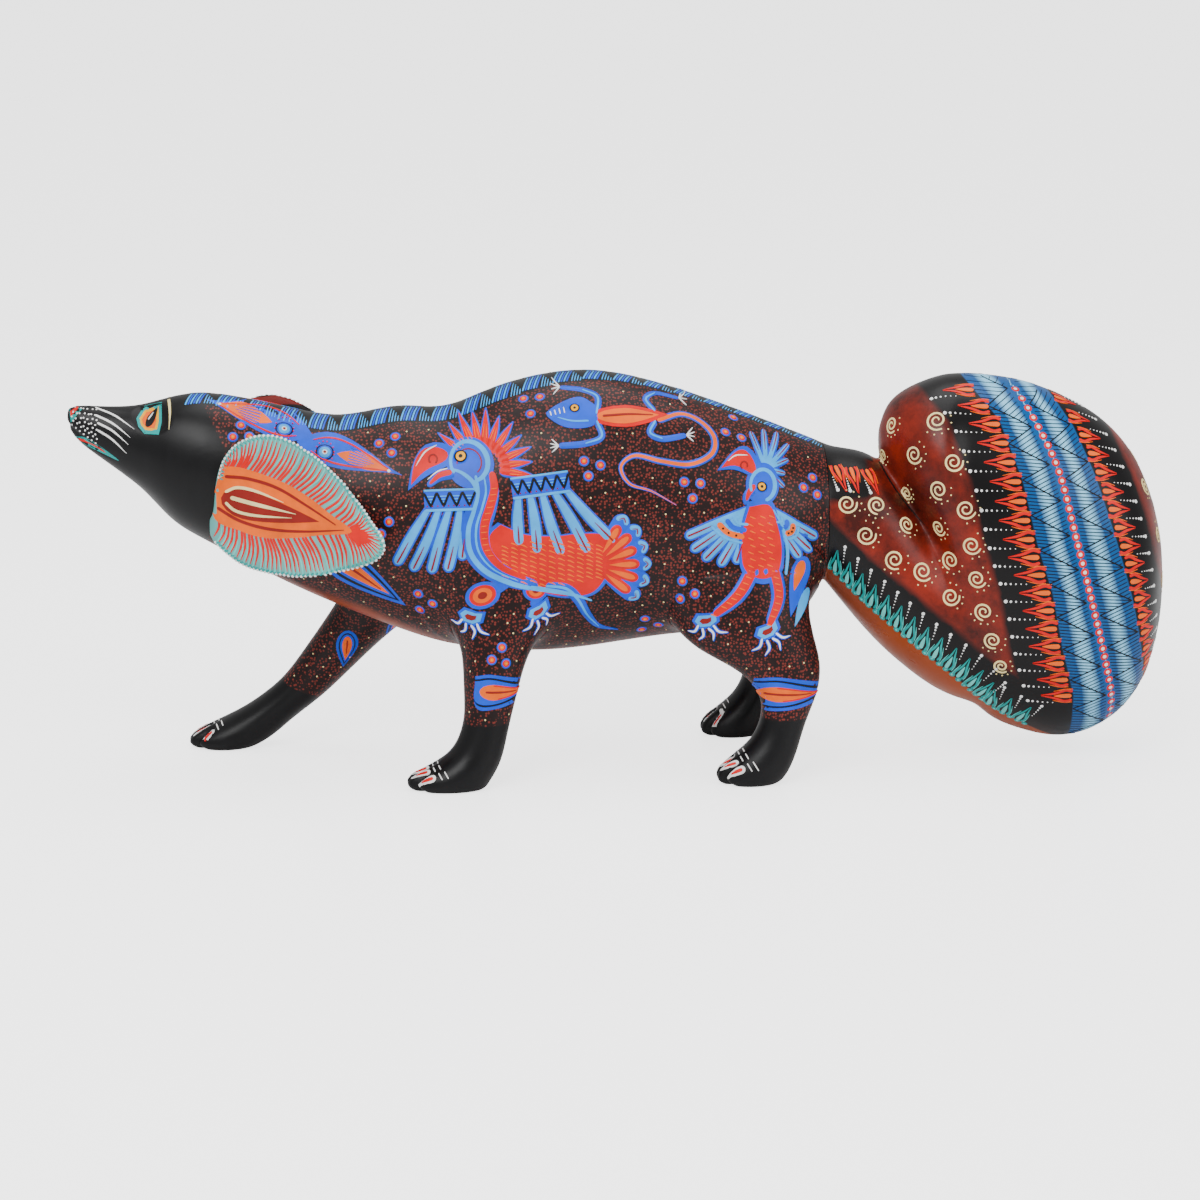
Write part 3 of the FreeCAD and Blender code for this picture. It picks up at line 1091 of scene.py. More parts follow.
def ring_line(middle, radius, start=0.0, end=360.0, stretch=1.0):
    """Points on an arc, given in degrees."""
    count = max(4, int(abs(end - start) / 24))
    angles = [math.radians(start + (end - start) * i / count) for i in range(count + 1)]
    return [(middle[0] + radius * math.cos(a), middle[1] + radius * stretch * math.sin(a)) for a in angles]


def row(view, colour, start, end, sizes, level=1):
    """A straight row of dots whose radii are given from start to end."""
    start, end = numbers(start, end)
    for i, radius in enumerate(sizes):
        dot(view, colour, start + (end - start) * i / (len(sizes) - 1), radius, level)


def paint_objects(inks):
    """Turn all collected paint into objects, each with its colour's material, that ride with what they cover.
    """
    for (body, colour), (verts, faces) in PAINTS.meshes.items():
        mesh = bpy.data.meshes.new(body + "_" + colour)
        mesh.from_pydata([tuple(v) for v in verts], [], faces)
        mesh.materials.append(inks[colour])
        mesh.shade_smooth()
        mesh.set_sharp_from_angle(angle=math.radians(62))
        thing = link(body + "_" + colour, mesh)
        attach(thing, body)


# ------------------------------------------------------------ body motifs ---


def triad(view, *middles):
    """Ringed dots, as a rule three together."""
    for middle in middles:
        rings(view, middle, ("blue", 2.9), ("red", 2.0), ("orange", 1.35), ("yellow", 0.6))


def eye_leaf(view, start, end, ring, width, fat, bend):
    """A pointed leaf holding a ringed eye, orange at its start and blue round the eye."""
    fill(view, "blue", spindle_line(start, end, width, fat, bend), 0, smooth=False)
    a, b = numbers(start, end)

    def at(share):
        return a + (b - a) * share

    fill(view, "orange", spindle_line(at(0.10), at(0.62), width * 0.5, 0.5, bend * 0.7), 1, smooth=False)
    inner = spindle_line(at(0.06), at(0.93), width * 0.72, fat, bend * 0.95)
    stroke(view, "red", inner[1:12], 1.1, 2, (0.4, 0.5))
    stroke(view, "red", [inner[1]] + inner[-1:12:-1], 1.1, 2, (0.4, 0.5))
    way, side = heading(a, b)
    for i in range(-3, 4):
        start_at = at(0.36) + side * (bend * 0.8 + i * width * 0.06)
        stroke(view, "blue", [start_at - way * 1.5 * (3 - abs(i)), start_at + way * 8 + side * i * 0.4],
               0.6, 3, (0.2, 1))
    rings(view, ring, ("black", 4.9), ("blue", 4.2), ("light_blue", 3.3), ("white", 1.5), ("dark_red", 0.9),
          base=2)
    for spot in ring_line(ring, 4.55, 0, 345):
        dot(view, "red", spot, 0.42, 4)
    dot(view, "white", at(0.13), 0.9, 4)


def throat_leaf(view):
    """The long blue and orange leaf that shows below the ear."""
    for level, (colour, root, tip, width) in enumerate((
        ("blue", (-152, 121), (-108, 89), 17),
        ("black", (-150, 119.5), (-111, 91.5), 13.5),
        ("blue", (-149, 119), (-113, 93), 10.5),
        ("orange", (-148, 118), (-116, 95.5), 7.5),
    )):
        leaf(view, colour, root, tip, width, level, 0.35)
    stroke(view, "dark_red", [(-146, 117), (-132, 107), (-120, 98)], 1.4, 5, (1, 0.2))


def bird_crest(view):
    """Eleven flame-like feathers fanned behind the face."""
    middle = np.array((-70.0, 159.0))
    for i in range(11):
        angle = math.radians(146 - 15.5 * i)
        way = np.array((math.cos(angle), math.sin(angle)))
        long = 24.5 - 1.3 * (i % 2)
        stroke(view, "blue", [middle + way * 8, middle + way * (long + 1.2)], 6.2, 0, (1.0, 0.12))
        stroke(view, "red", [middle + way * 8, middle + way * long], 4.2, 1, (1.0, 0.12))
        for offset in (-0.9, 0.9):
            side = np.array((-way[1], way[0])) * offset
            stroke(view, "orange", [middle + way * 13 + side, middle + way * 19 + side * 0.5], 0.6, 3,
                   (1, 0.3))


def bird_head(view):
    """A hooked red beak, an open lower beak and a ringed eye."""
    fill(view, "blue", ring_line((-76, 160.5), 11.5, 0, 336), 2)
    leaf(view, "blue", (-83, 166), (-106.5, 148), 13.0, 3, 0.34, -4.6)
    leaf(view, "red", (-87, 165), (-105, 150.5), 9.2, 4, 0.32, -4.2)
    stroke(view, "blue", [(-83, 156), (-91, 154.5), (-97, 150)], 5.6, 2, (1.0, 0.5))
    stroke(view, "red", [(-85, 156.5), (-91, 155), (-96, 151)], 3.2, 3, (1.0, 0.4))
    stroke(view, "white", [(-87, 158), (-92, 156.6), (-97, 153)], 0.8, 5, (0.6, 0.3))
    stroke(view, "white", [(-92, 168), (-98, 165), (-102.5, 159)], 0.9, 6, (0.4, 0.3))
    stroke(view, "dark_red", ring_line((-94, 162), 2.0, -60, 230), 0.9, 6)
    stroke(view, "light_blue", ring_line((-76.5, 161), 9.0, 215, -75), 2.8, 4, (0.5, 0.7))
    stroke(view, "dark_red", ring_line((-76.5, 161), 5.9, 190, -50), 0.9, 4)
    stroke(view, "light_blue", [(-86, 158), (-80, 156), (-75, 152), (-73, 147)], 2.2, 4, (0.5, 0.9))
    rings(view, (-80.5, 163.5), ("blue", 4.4), ("black", 3.7), ("yellow", 2.8), ("black", 1.2), base=4)


def bird_neck(view):
    """Striped neck that runs down into the pale line under the body."""
    spine = [(-70, 156), (-69, 148), (-71, 140), (-74, 130), (-73, 119), (-66, 110), (-54, 104), (-44, 101)]
    stroke(view, "blue", spine, 15.5, 2, (0.75, 0.35))

    def shift(amount):
        return [(x + amount, z + amount * 0.25) for x, z in spine]

    stroke(view, "red", shift(4.2)[:-1], 5.0, 3, (0.7, 0.5))
    stroke(view, "light_blue", shift(-3.6), 3.0, 4, (0.5, 0.8))
    stroke(view, "light_blue", shift(0.2)[:-1], 1.3, 4, (0.6, 0.4))
    for i in range(12):
        x, z = curve(shift(4.2), 1.0)[8 + 3 * i]
        stroke(view, "orange", [(x - 1.4, z), (x + 1.6, z + 0.4)], 0.6, 5, (1, 0.4))
    stroke(view, "light_blue", [(-48, 100.5), (-38, 98.5), (-26, 95.5), (-17, 92)], 2.6, 4, (1, 0.3))


def wing(view, start, end, drop_to, feathers, depth=9.5):
    """A wing: a hatched strip along the top with long feathers hanging from it."""
    start, end = numbers(start, end)
    way = (end - start) / np.linalg.norm(end - start)
    down = np.array((way[1], -way[0]))
    if down[1] > 0:
        down = -down
    for i, tip in enumerate(drop_to):
        share = (i + 0.5) / len(drop_to)
        root = start + (end - start) * share + down * (depth - 2)
        plume(view, root, tip, feathers, 0, bend=0.6 if i % 2 else -0.6)
    corners = [start, end, end + down * depth, start + down * depth]
    fill(view, "blue", corners, 3, smooth=False)
    length = np.linalg.norm(end - start)
    count = max(3, int(length / 5.2))
    for i in range(count):
        a = start + way * (length * i / count) + down * 1.2
        b = start + way * (length * (i + 1) / count) + down * 1.2
        middle = (a + b) / 2 + down * (depth - 3.0)
        stroke(view, "black", [a, middle, b], 1.4, 4, straight=True)
        for share in (0.3, 0.52, 0.74):
            point = (a + b) / 2 + down * (depth - 3.4) * share
            spread = way * length / count * 0.42 * (1 - share)
            stroke(view, "light_blue", [point - spread, point + spread], 0.6, 4)
    stroke(view, "light_blue", [start + down * 0.2, end + down * 0.2], 1.1, 5)
    stroke(view, "light_blue", [start + down * depth, end + down * depth], 1.4, 5)
    for i in range(int(length / 2.6)):
        dot(view, "dark_red", start + way * (1.3 + 2.6 * i) + down * (depth - 1.9), 0.5, 4)


def bird_body(view):
    outline = [(-62, 132), (-50, 127), (-36, 126), (-24, 127), (-12, 126), (-8, 116), (-11, 104), (-18, 96),
               (-30, 95), (-42, 98), (-54, 102), (-64, 108), (-69, 118), (-67, 127)]
    middle = np.mean(outline, axis=0)
    fill(view, "blue", [middle + (np.array(p) - middle) * 1.06 for p in outline], 0)
    fill(view, "red", outline, 1)
    for column in range(11):
        x = -60 + 4.6 * column
        low, high = 101 + abs(column - 5) * 0.7, 125 - abs(column - 5) * 0.4
        for i in range(9):
            z = low + (high - low) * (i + 0.5 * (column % 2)) / 9
            if is_inside((x, z), np.array(outline, dtype=float), 2.0):
                stroke(view, "orange", [(x - 1.6, z + 0.5), (x, z), (x + 1.8, z - 1.0)], 0.85, 3, (1, 0.3))


def bird_tail(view):
    """A fan of six flame-coloured feathers, each ended by a pale scallop."""
    root = np.array((-16.0, 111.0))
    for tip in ((-1, 136), (6, 130), (10, 121), (12, 111), (11, 101), (6, 92)):
        tip = np.array(tip, dtype=float)
        way, side = heading(root, tip)
        long = np.linalg.norm(tip - root)
        stroke(view, "blue", [root, tip], 9.8, 0, (0.35, 1.0))
        stroke(view, "red", [root, root + way * (long - 6)], 6.0, 1, (0.4, 1.0))
        leaf(view, "orange", root + way * (long - 7.5), root + way * 7, 2.9, 3, 0.25)
        spot = tip - way * 2.6
        stroke(view, "light_blue",
               [spot - side * 3.0 - way * 1.5, spot + way * 1.3, spot + side * 3.0 - way * 1.5], 2.6, 2)
        stroke(view, "dark_red", [spot - side * 1.9 - way * 0.8, spot + way * 0.8, spot + side * 1.7 - way],
               0.8, 4, (1, 0.3))


def ringed_blob(view, middle, width, height, turned=0.0):
    """Blue, red and orange ovals one in another, round a dark heart."""
    patch = Patch(view, middle, turned)
    for level, (colour, share) in enumerate((("blue", 1.0), ("red", 0.76), ("orange", 0.55),
                                             ("dark_red", 0.26))):
        oval = [(x * width / 2 * share, z * height / 2 * share) for x, z in ring_line((0, 0), 1, 0, 336)]
        fill(patch, colour, oval, level)


def bird_foot(view, middle, turned, claws):
    """A pale pad with a dark heart and curved claws."""
    patch = Patch(view, middle, turned)
    for tip, bend in claws:
        claw(patch, (tip[0] * 0.35, tip[1] * 0.35), tip, bend)
    pad = [(-7, 1), (-4, 4.4), (3, 3.6), (7.5, 4.6), (7, -1), (2.5, -3.8), (-4, -3.4)]
    fill(patch, "blue", pad, 3, smooth=False)
    fill(patch, "light_blue", [(x * 0.78, z * 0.72) for x, z in pad], 4, smooth=False)
    fill(patch, "dark_red", [(x * 0.42, z * 0.34) for x, z in pad], 5, smooth=False)


def great_bird(view):
    """The large bird in the middle of the flank, its wings spread."""
    bird_body(view)
    bird_tail(view)
    wing(view, (-99, 148), (-74, 149), ((-113, 111), (-105, 108), (-96, 107), (-88, 108), (-81, 114)), 6.6)
    wing(view, (-57, 154), (-29, 157.5), ((-53, 121), (-44, 117), (-32, 116), (-19, 117), (-6, 122)), 7.0)
    bird_neck(view)
    bird_crest(view)
    bird_head(view)
    stroke(view, "blue", [(-58, 105), (-64, 101), (-70, 98)], 7, 0)
    stroke(view, "blue", [(-40, 100), (-44, 95), (-46, 90)], 6, 0)
    ringed_blob(view, (-71, 97), 18, 13, 20)
    ringed_blob(view, (-45, 99), 13, 11)
    swoosh = [(-40, 101), (-30, 99), (-24, 93), (-19, 84), (-13, 77), (-3, 74)]
    stroke(view, "blue", swoosh, 5.6, 2, (0.8, 0.1))
    stroke(view, "light_blue", swoosh[:-1], 1.6, 4, (0.8, 0.2))
    bird_foot(view, (-77, 86), -10, (((-11, -5), 1.8), ((-5, -9), 1.8), ((3, -10), 1.8), ((11, -6), -1.6)))
    bird_foot(view, (-44, 88), 25, (((-11, -4), 1.8), ((-6, -10), 1.8), ((2, -11), 1.8), ((10, -8), -1.6)))


def lizard(view):
    """A long-tailed lizard climbing along the back."""
    tail_line = [(16, 179), (28, 181), (38, 177), (44, 170), (42, 163), (31, 159), (17, 161), (4, 164),
                 (-3, 159),
                 (1, 151), (12, 147), (24, 140)]
    stroke(view, "blue", tail_line, 4.2, 0, (1.0, 0.1))
    stroke(view, "orange", tail_line, 2.2, 1, (1.0, 0.1))
    for arm in (
        [(-14, 183), (-13, 190), (-20, 193), (-31, 194)],
        [(-14, 180), (-12, 173), (-20, 170), (-33, 169)],
        [(15, 183), (11, 188), (16, 190), (28, 187)],
        [(15, 179), (12, 174), (18, 171), (30, 172)],
    ):
        stroke(view, "blue", arm, 3.6, 0, (1.0, 0.9))
        stroke(view, "light_blue", arm[:-1], 1.1, 3, (1, 0.6))
        hand = np.array(arm[-1], dtype=float)
        heading = math.copysign(1, hand[0] - arm[0][0])
        for spread in (-3.0, -1.0, 1.0, 3.0):
            tip = hand + (heading * (4.6 - abs(spread) * 0.4), spread)
            stroke(view, "white", [hand, tip], 0.8, 3, (1, 0.4))
    leaf(view, "red", (-17, 182), (22, 181), 9.4, 1, 0.45)
    leaf(view, "orange", (-14, 182), (17, 181.3), 6.6, 2, 0.45)
    stroke(view, "dark_red", [(-11, 182), (2, 182.3), (14, 181.4)], 1.3, 4, (1, 0.3))
    head = [(-14, 186.5), (-21, 190), (-29, 188.5), (-37, 184.5), (-38, 182), (-30, 177.5), (-20, 177),
            (-14, 179.5)]
    fill(view, "blue", head, 2)
    rings(view, (-24.5, 185.5), ("blue", 3.4), ("black", 2.8), ("yellow", 2.1), ("black", 0.8), base=3)
    stroke(view, "light_blue", [(-18, 180), (-26, 180), (-33, 181.5)], 1.0, 4, (1, 0.4))
    for i in range(4):
        stroke(view, "white", [(-36.5 + 2.2 * i, 184.0 + 0.6 * i), (-36 + 2.2 * i, 182.2 + 0.4 * i)], 0.7, 4)


def small_bird_head(view):
    """A fan of feathers, a hooked beak and a ringed eye."""
    for tip in ((63, 171), (70, 171), (77, 169), (82, 164), (81, 158), (79, 152), (78, 146)):
        root = (69, 155)
        stroke(view, "blue", [root, tip], 4.6, 0, (0.8, 0.7))
        stroke(view, "light_blue", [root, tip], 2.6, 1, (0.8, 0.6))
        stroke(view, "dark_red", [(root[0] * 0.5 + tip[0] * 0.5, root[1] * 0.5 + tip[1] * 0.5), tip], 0.8,
               3, (0.3, 1))
    fill(view, "blue", ring_line((67, 148), 8.4, 0, 336, 1.15), 2)
    leaf(view, "blue", (67, 154), (44.5, 155.5), 12.0, 3, 0.34, -5.2)
    leaf(view, "red", (64, 154.5), (46.5, 156.5), 8.4, 4, 0.32, -4.8)
    stroke(view, "blue", [(63, 147), (59, 143), (58, 139)], 5.0, 2, (1.0, 0.4))
    stroke(view, "red", [(63, 148), (60, 144.5), (58.6, 141)], 3.0, 3, (1.0, 0.4))
    stroke(view, "white", [(60, 161.3), (54, 161.6), (50, 159.4)], 0.8, 6, (0.4, 0.4))
    stroke(view, "dark_red", ring_line((58, 157), 1.7, -30, 240), 0.8, 6)
    stroke(view, "light_blue", ring_line((67, 147.5), 6.2, 200, -80, 1.15), 2.4, 4, (0.6, 0.7))
    rings(view, (66.5, 147), ("blue", 3.5), ("black", 3.0), ("yellow", 2.2), ("black", 0.9), base=4)


def small_wing(view, root, tips):
    """A wing of parallel feathers crossed by a dotted orange band."""
    root = np.array(root, dtype=float)
    for tip in tips:
        plume(view, root, tip, 6.4, 0)
    first, last = np.array(tips[0], dtype=float), np.array(tips[-1], dtype=float)
    for share, colour, width in ((0.30, "light_blue", 1.4), (0.40, "blue", 2.6), (0.52, "orange", 3.2),
                                 (0.62, "light_blue", 1.3)):
        a, b = root + (first - root) * share, root + (last - root) * share
        middle = root + ((first + last) / 2 - root) * (share + 0.06)
        stroke(view, colour, [a, middle, b], width, 5)
        if colour == "orange":
            for point in curve([a, middle, b], 3.0)[1:-1]:
                dot(view, "black", point, 0.65, 7)


def small_bird(view):
    """The small upright bird on the haunch."""
    small_wing(view, (62, 138), ((28, 124), (31, 117), (37, 112), (45, 109), (53, 110)))
    small_wing(view, (68, 138), ((95, 120), (92, 114), (86, 111)))
    body = [(60, 138), (70, 138), (74, 128), (76, 116), (74, 106), (66, 103), (58, 107), (56, 116), (57, 128)]
    middle = np.mean(body, axis=0)
    fill(view, "blue", [middle + (np.array(p) - middle) * 1.14 for p in body], 3)
    fill(view, "red", body, 4)
    for hip, knee, foot in (((62, 108), (54, 96), (42, 86)), ((72, 108), (74, 94), (69, 81))):
        stroke(view, "blue", [hip, knee, foot], 8.4, 3, (1.0, 0.6))
        stroke(view, "red", [hip, knee, foot], 5.6, 4, (1.0, 0.6))
        for i in range(9):
            x, z = curve([hip, knee, foot], 1.0)[2 + 3 * i] if i < 8 else foot
            stroke(view, "orange", [(x - 1.4, z + 0.6), (x + 1.4, z - 0.4)], 0.8, 6, (1, 0.4))
    for i in range(8):
        for x in (60.5 + (i % 2), 65.5 + (i % 2), 70.0 + (i % 2)):
            z = 109 + 3.4 * i
            stroke(view, "orange", [(x - 1.3, z + 0.5), (x + 1.5, z - 0.8)], 0.8, 6, (1, 0.4))
    stroke(view, "light_blue", [(72, 136), (77, 126), (79, 114), (78, 104)], 1.8, 5, (0.4, 0.7))
    leaf(view, "blue", (88, 112), (80, 84), 10.5, 0, 0.3)
    leaf(view, "orange", (87, 110), (82, 96), 5.4, 2, 0.35)
    leaf(view, "light_blue", (90, 96), (82, 79), 5.2, 1, 0.35)
    small_bird_head(view)
    bird_foot(view, (38, 83), 10, (((-11, -4), 1.8), ((-6, -9), 1.8), ((2, -10), 1.6), ((10, -7), -1.6)))
    bird_foot(view, (68, 78), 25, (((-11, -5), 1.8), ((-6, -10), 1.8), ((2, -11), 1.6), ((10, -7), -1.6)))


def cream_dots(view, low, high, pitch=9.2):
    """Small cream dots over the brown coat, wherever nothing else is painted."""
    chance = random.Random(5)
    z = low[1]
    turn = 0
    while z < high[1]:
        x = low[0] + pitch / 2 * turn
        while x < high[0]:
            point = (x + chance.uniform(-1.6, 1.6), z + chance.uniform(-1.6, 1.6))
            seen = view.place(point)
            x += pitch
            if seen is None or seen[1].y * view.side < 0.12 or not PAINTS.is_free(seen[0]):
                continue
            if is_coat(seen[0]):
                dot(view, "cream", point, 0.52, 0)
        z += pitch * 0.62
        turn = 1 - turn


def is_coat(spot):
    """Whether a spot is on the stippled brown coat rather than head, spine, belly or sock."""
    x, y, z = (c / MM for c in spot)
    on_sock = z < SOCK_TOP + COAT_MARGIN or (x < -100 and z < far_sock_top(x) + COAT_MARGIN)
    on_head = x < steps(z, HEAD_EDGE) + COAT_MARGIN
    middle, tall, _ = (np.interp(x * MM, PROFILE[:, 0], PROFILE[:, i]) / MM for i in (1, 2, 3))
    on_spine = z > middle and abs(y) < steps(x, SPINE_HALF) + COAT_MARGIN
    on_belly = z < middle - tall + steps(x, BELLY_RISE) + COAT_MARGIN and z > 62
    return not (on_sock or on_head or on_spine or on_belly) and x < 99


def spine_hatch(view):
    """Blue and pale strokes in leaning blocks along the back."""
    pitch = 15.0
    lean = 3.4
    x = -214.0
    while x < 96:
        wide = float(steps(x + 4, SPINE_HALF)) - 1.0
        for i in range(6):
            start = x + 1.35 * i
            colour = "blue" if i % 2 else "light_blue"
            stroke(view, colour, [(start, wide), (start + lean, 0.8)], 0.95, 0, (1, 0.6))
        for i in range(4):
            start = x + 9.2 + 1.4 * i
            reach = wide * (1 - i / 4.4)
            stroke(view, "light_blue", [(start, wide), (start + 2.0 * reach / wide, wide - reach * 0.8)],
                   0.6, 0, (1, 0.5))
        x += pitch


# ------------------------------------------------------- legs, face and ears -


def leg_band(view, start, end, low, high):
    """A band round the leg: blue lines about an orange drop."""
    middle = (low + high) / 2
    for level, (colour, inset, tip) in enumerate((("blue", 0, 0), ("black", 1.6, 1.5), ("blue", 2.5, 2.5))):
        outline = [(start, high - inset - 1), ((start + end) / 2 - 4, high - inset),
                   (end - tip, high - inset - 5),
                   (end - tip, low + inset + 4.4), ((start + end) / 2 - 4, low + inset), (start,
                                                                                          low + inset + 1)]
        fill(view, colour, outline, level)
    leaf(view, "orange", (start + 2, middle), (end - 2, middle - 0.6), (high - low) * 0.46, 3, 0.3)
    stroke(view, "red", leaf_line((start + 2, middle), (end - 2, middle - 0.6), (high - low) * 0.40,
                                  0.3)[4:-4], 0.7, 5)
    stroke(view, "dark_red", [(start + 5, middle), (end - 6, middle - 0.4)], 1.0, 5, (1, 0.3))


def leg_drops(view, spots):
    """Upright orange drops ringed in blue, as on the striding foreleg."""
    for (x, z), turned in spots:
        patch = Patch(view, (x, z), turned)
        for level, (colour, root, tip, width) in enumerate((
            ("blue", 9, -13, 11.5), ("black", 7.6, -11, 8.6), ("blue", 6.9, -9.6, 7.2), ("orange", 5.8, -8,
                                                                                         4.9),
        )):
            leaf(patch, colour, (root, 0), (tip, 0), width, level, 0.35)
        stroke(patch, "dark_red", [(3.6, 0), (-4, 0)], 0.9, 5, (1, 0.3))


class Ahead:
    """Paint for a foot: lines along X at a given place across it, laid from above and ahead."""

    def __init__(self, tree, body, side):
        self.tree = tree
        self.body = body
        self.side = side
        self.sideways = 0.0

    def place(self, point):
        """Where a point (along, up to the side) lands when it comes down a slope onto the toes."""
        way = Vector((0.5, -0.45 * self.side, -0.8)).normalized()
        target = Vector((point[0] * MM, (self.sideways + point[1]) * MM, 6.5 * MM))
        spot, normal, _, _ = self.tree.ray_cast(target - way * 0.03, way)
        return (spot, normal) if spot is not None else None

    def line(self, sideways, start, end, colour, width):
        self.sideways = sideways
        level = 1 if colour == "white" else 3
        stroke(self, colour, [(end, 0), (start, 0)], width, level, (1.0, 0.3))

    def dash(self, sideways, along, long, colour):
        self.sideways = sideways
        stroke(self, colour, [(along, -long / 2), (along, long / 2)], 0.7, 1)


def paint_feet(tree, side):
    """White claws with red hearts, and short pale dashes on every knuckle."""
    for leg in LEGS:
        is_left = leg.endswith("left")
        if is_left != (side == NEAR):
            continue
        low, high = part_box(leg + "_leg")
        middle = side * (max(abs(low.y), abs(high.y)) / MM - 13.5)
        tip = (low.x if leg.startswith("front") else low_toe(leg)) / MM
        view = Ahead(tree, "figure", side)
        for toe in (-9.6, -3.2, 3.2, 9.6):
            sideways = middle + toe
            wide = 4.6 if abs(toe) > 5 else 3.4
            back = abs(toe) * 0.22
            start = tip + 1.8 + back
            view.line(sideways, start, start + 12.0, "white", wide)
            view.line(sideways, start + 3.2, start + 10.4, "red", wide * 0.42)
            for i in (0, 1):
                view.dash(sideways, start + 14.5 + 3.4 * i, 4.2, "white")


def face(view):
    """Mouth, nose, speckled muzzle, whiskers, eye and brow."""
    fill(view, "teal", [(-268, 170.5), (-261, 169.5), (-247, 159.5), (-257, 163.5), (-266, 168)], 0)
    stroke(view, "red", [(-266.5, 169.3), (-260, 167.2), (-251, 161.6)], 1.3, 2, (1, 0.2))
    fill(view, "teal", [(-271, 186.5), (-262, 186), (-266, 182.5), (-270, 177.5)], 0, smooth=False)
    fill(view, "red", [(-270.6, 185), (-266, 184.6), (-270, 180.5)], 1, smooth=False)
    for rank in range(7):
        x = -269.5 + 1.9 * rank
        high, low = 184.6 - 0.15 * rank, 176.5 - 1.45 * rank
        count = max(2, int((high - low) / 2.0))
        for i in range(count + 1):
            dot(view, "white", (x + 0.7 * (i % 2), low + (high - low) * i / count), 0.55, 0)
    for start, end in (((-258, 184.5), (-239, 175.5)), ((-258, 181.5), (-241, 171.5)),
                       ((-257, 178), (-242, 168)),
                       ((-257, 174.5), (-243, 163.5))):
        middle = ((start[0] + end[0]) / 2, (start[1] + end[1]) / 2 + 1.2)
        stroke(view, "white", [start, middle, end], 1.15, 0, (1, 0.1))
    eye = [(-238, 180), (-234, 185), (-225.5, 187), (-225.5, 179), (-227, 173.5), (-234, 173.5),
           (-237, 176.5)]
    centre = np.mean(eye, axis=0)

    def shrink(share):
        return [centre + (np.array(p) - centre) * share for p in eye]

    fill(view, "teal", eye, 0, smooth=False)
    fill(view, "yellow", shrink(0.76), 1, smooth=False)
    fill(view, "orange", shrink(0.56), 2, smooth=False)
    leaf(view, "black", (-233, 176.5), (-227.5, 184.5), 3.6, 3, 0.4)
    stroke(view, "white", [(-232, 179.5), (-229.5, 182.5)], 0.9, 5, (1, 0.4))
    stroke(view, "cream", [(-229, 188.5), (-223, 189.3), (-221.5, 184), (-222, 176)], 1.6, 0, (0.4, 0.1))


EAR_LEAF = ((-197, 160.5), (-190, 161), (-184, 160), (-174, 157), (-164, 153), (-154, 147), (-145, 140),
            (-134.5, 131.5),
            (-150, 129), (-163, 127), (-176, 126.5), (-188, 129.5), (-201, 136.5))


def rim_of(view, middle, start, end, count=40, facing=0.42):
    """The outline of what faces the viewer, found by stepping outwards at each angle."""
    rim = []
    for i in range(count):
        angle = math.radians(start + (end - start) * i / (count - 1))
        reach = 12.0
        while True:
            spot = (middle[0] + reach * math.cos(angle), middle[1] + reach * math.sin(angle))
            seen = view.place(spot)
            if seen is None or seen[1].y * view.side < facing:
                break
            reach += 0.25
        reach -= 0.4
        rim.append((middle[0] + reach * math.cos(angle), middle[1] + reach * math.sin(angle)))
    return rim


def paint_ear(view):
    """An orange leaf in a fringe of fine red and aqua strokes, with a beaded rim."""
    fill(view, "orange", EAR_LEAF, 2, grid=2.0)
    tip = np.array((-134.0, 131.5))
    outline = rim_of(view, (-172, 140), 150, -152, 46)
    rim = curve(outline, 1.0)
    edge = np.array(curve(list(EAR_LEAF), 0.7))
    count = 170
    for i in range(count):
        end = rim[int(i / (count - 1) * (len(rim) - 1))]
        swept = end + (-5.0 * (1 - ease(end[0], -150, -125)), 0)
        root = edge[np.argmin(np.hypot(*(edge - swept).T))]
        inner = root + (tip - root) * 0.02
        sweep = (tip - root) / max(1e-6, np.linalg.norm(tip - root)) * 1.2
        colour = "red" if i % 2 else "aqua"
        reach = inner + (end - inner) * (0.88 if colour == "red" else 0.98)
        start = inner if colour == "red" else inner + (end - inner) * 0.18
        thin = (1.0, 0.25) if colour == "red" else (0.15, 1.0)
        width = 1.35 if colour == "red" else 0.95
        stroke(view, colour, [start, (start + reach) / 2 + sweep, reach], width, 1, thin)
    for spot in curve(outline, 1.9)[:-1]:
        stroke(view, "teal", [spot, spot + (tip - spot) / np.linalg.norm(tip - spot) * 2.2], 0.9, 2)
        dot(view, "white", spot, 0.78, 3)
    stroke(view, "dark_red", [(-195, 156), (-184, 155.5), (-170, 151.5), (-156, 143.5), (-142, 134.5)], 1.7,
           4, (1, 0.3))
    stroke(view, "dark_red", [(-199, 140.5), (-188, 134.5), (-174, 131), (-158, 130.5), (-138, 132.2)], 1.7,
           4, (1, 0.2))
    leaf(view, "dark_red", (-197, 145.5), (-150, 135.8), 14.5, 4, 0.25, -0.5)
    stroke(view, "cream", [(-195, 148.5), (-189, 151), (-180, 149.5), (-167, 144.5)], 1.6, 6, (1, 0.1))
    stroke(view, "cream", [(-192.5, 146), (-180, 143), (-161, 139)], 2.2, 6, (1, 0.08))
    stroke(view, "cream", [(-195, 143.5), (-190, 139.5), (-180, 137.5), (-163, 137)], 1.6, 6, (1, 0.1))


# -------------------------------------------------------------- tail motifs --


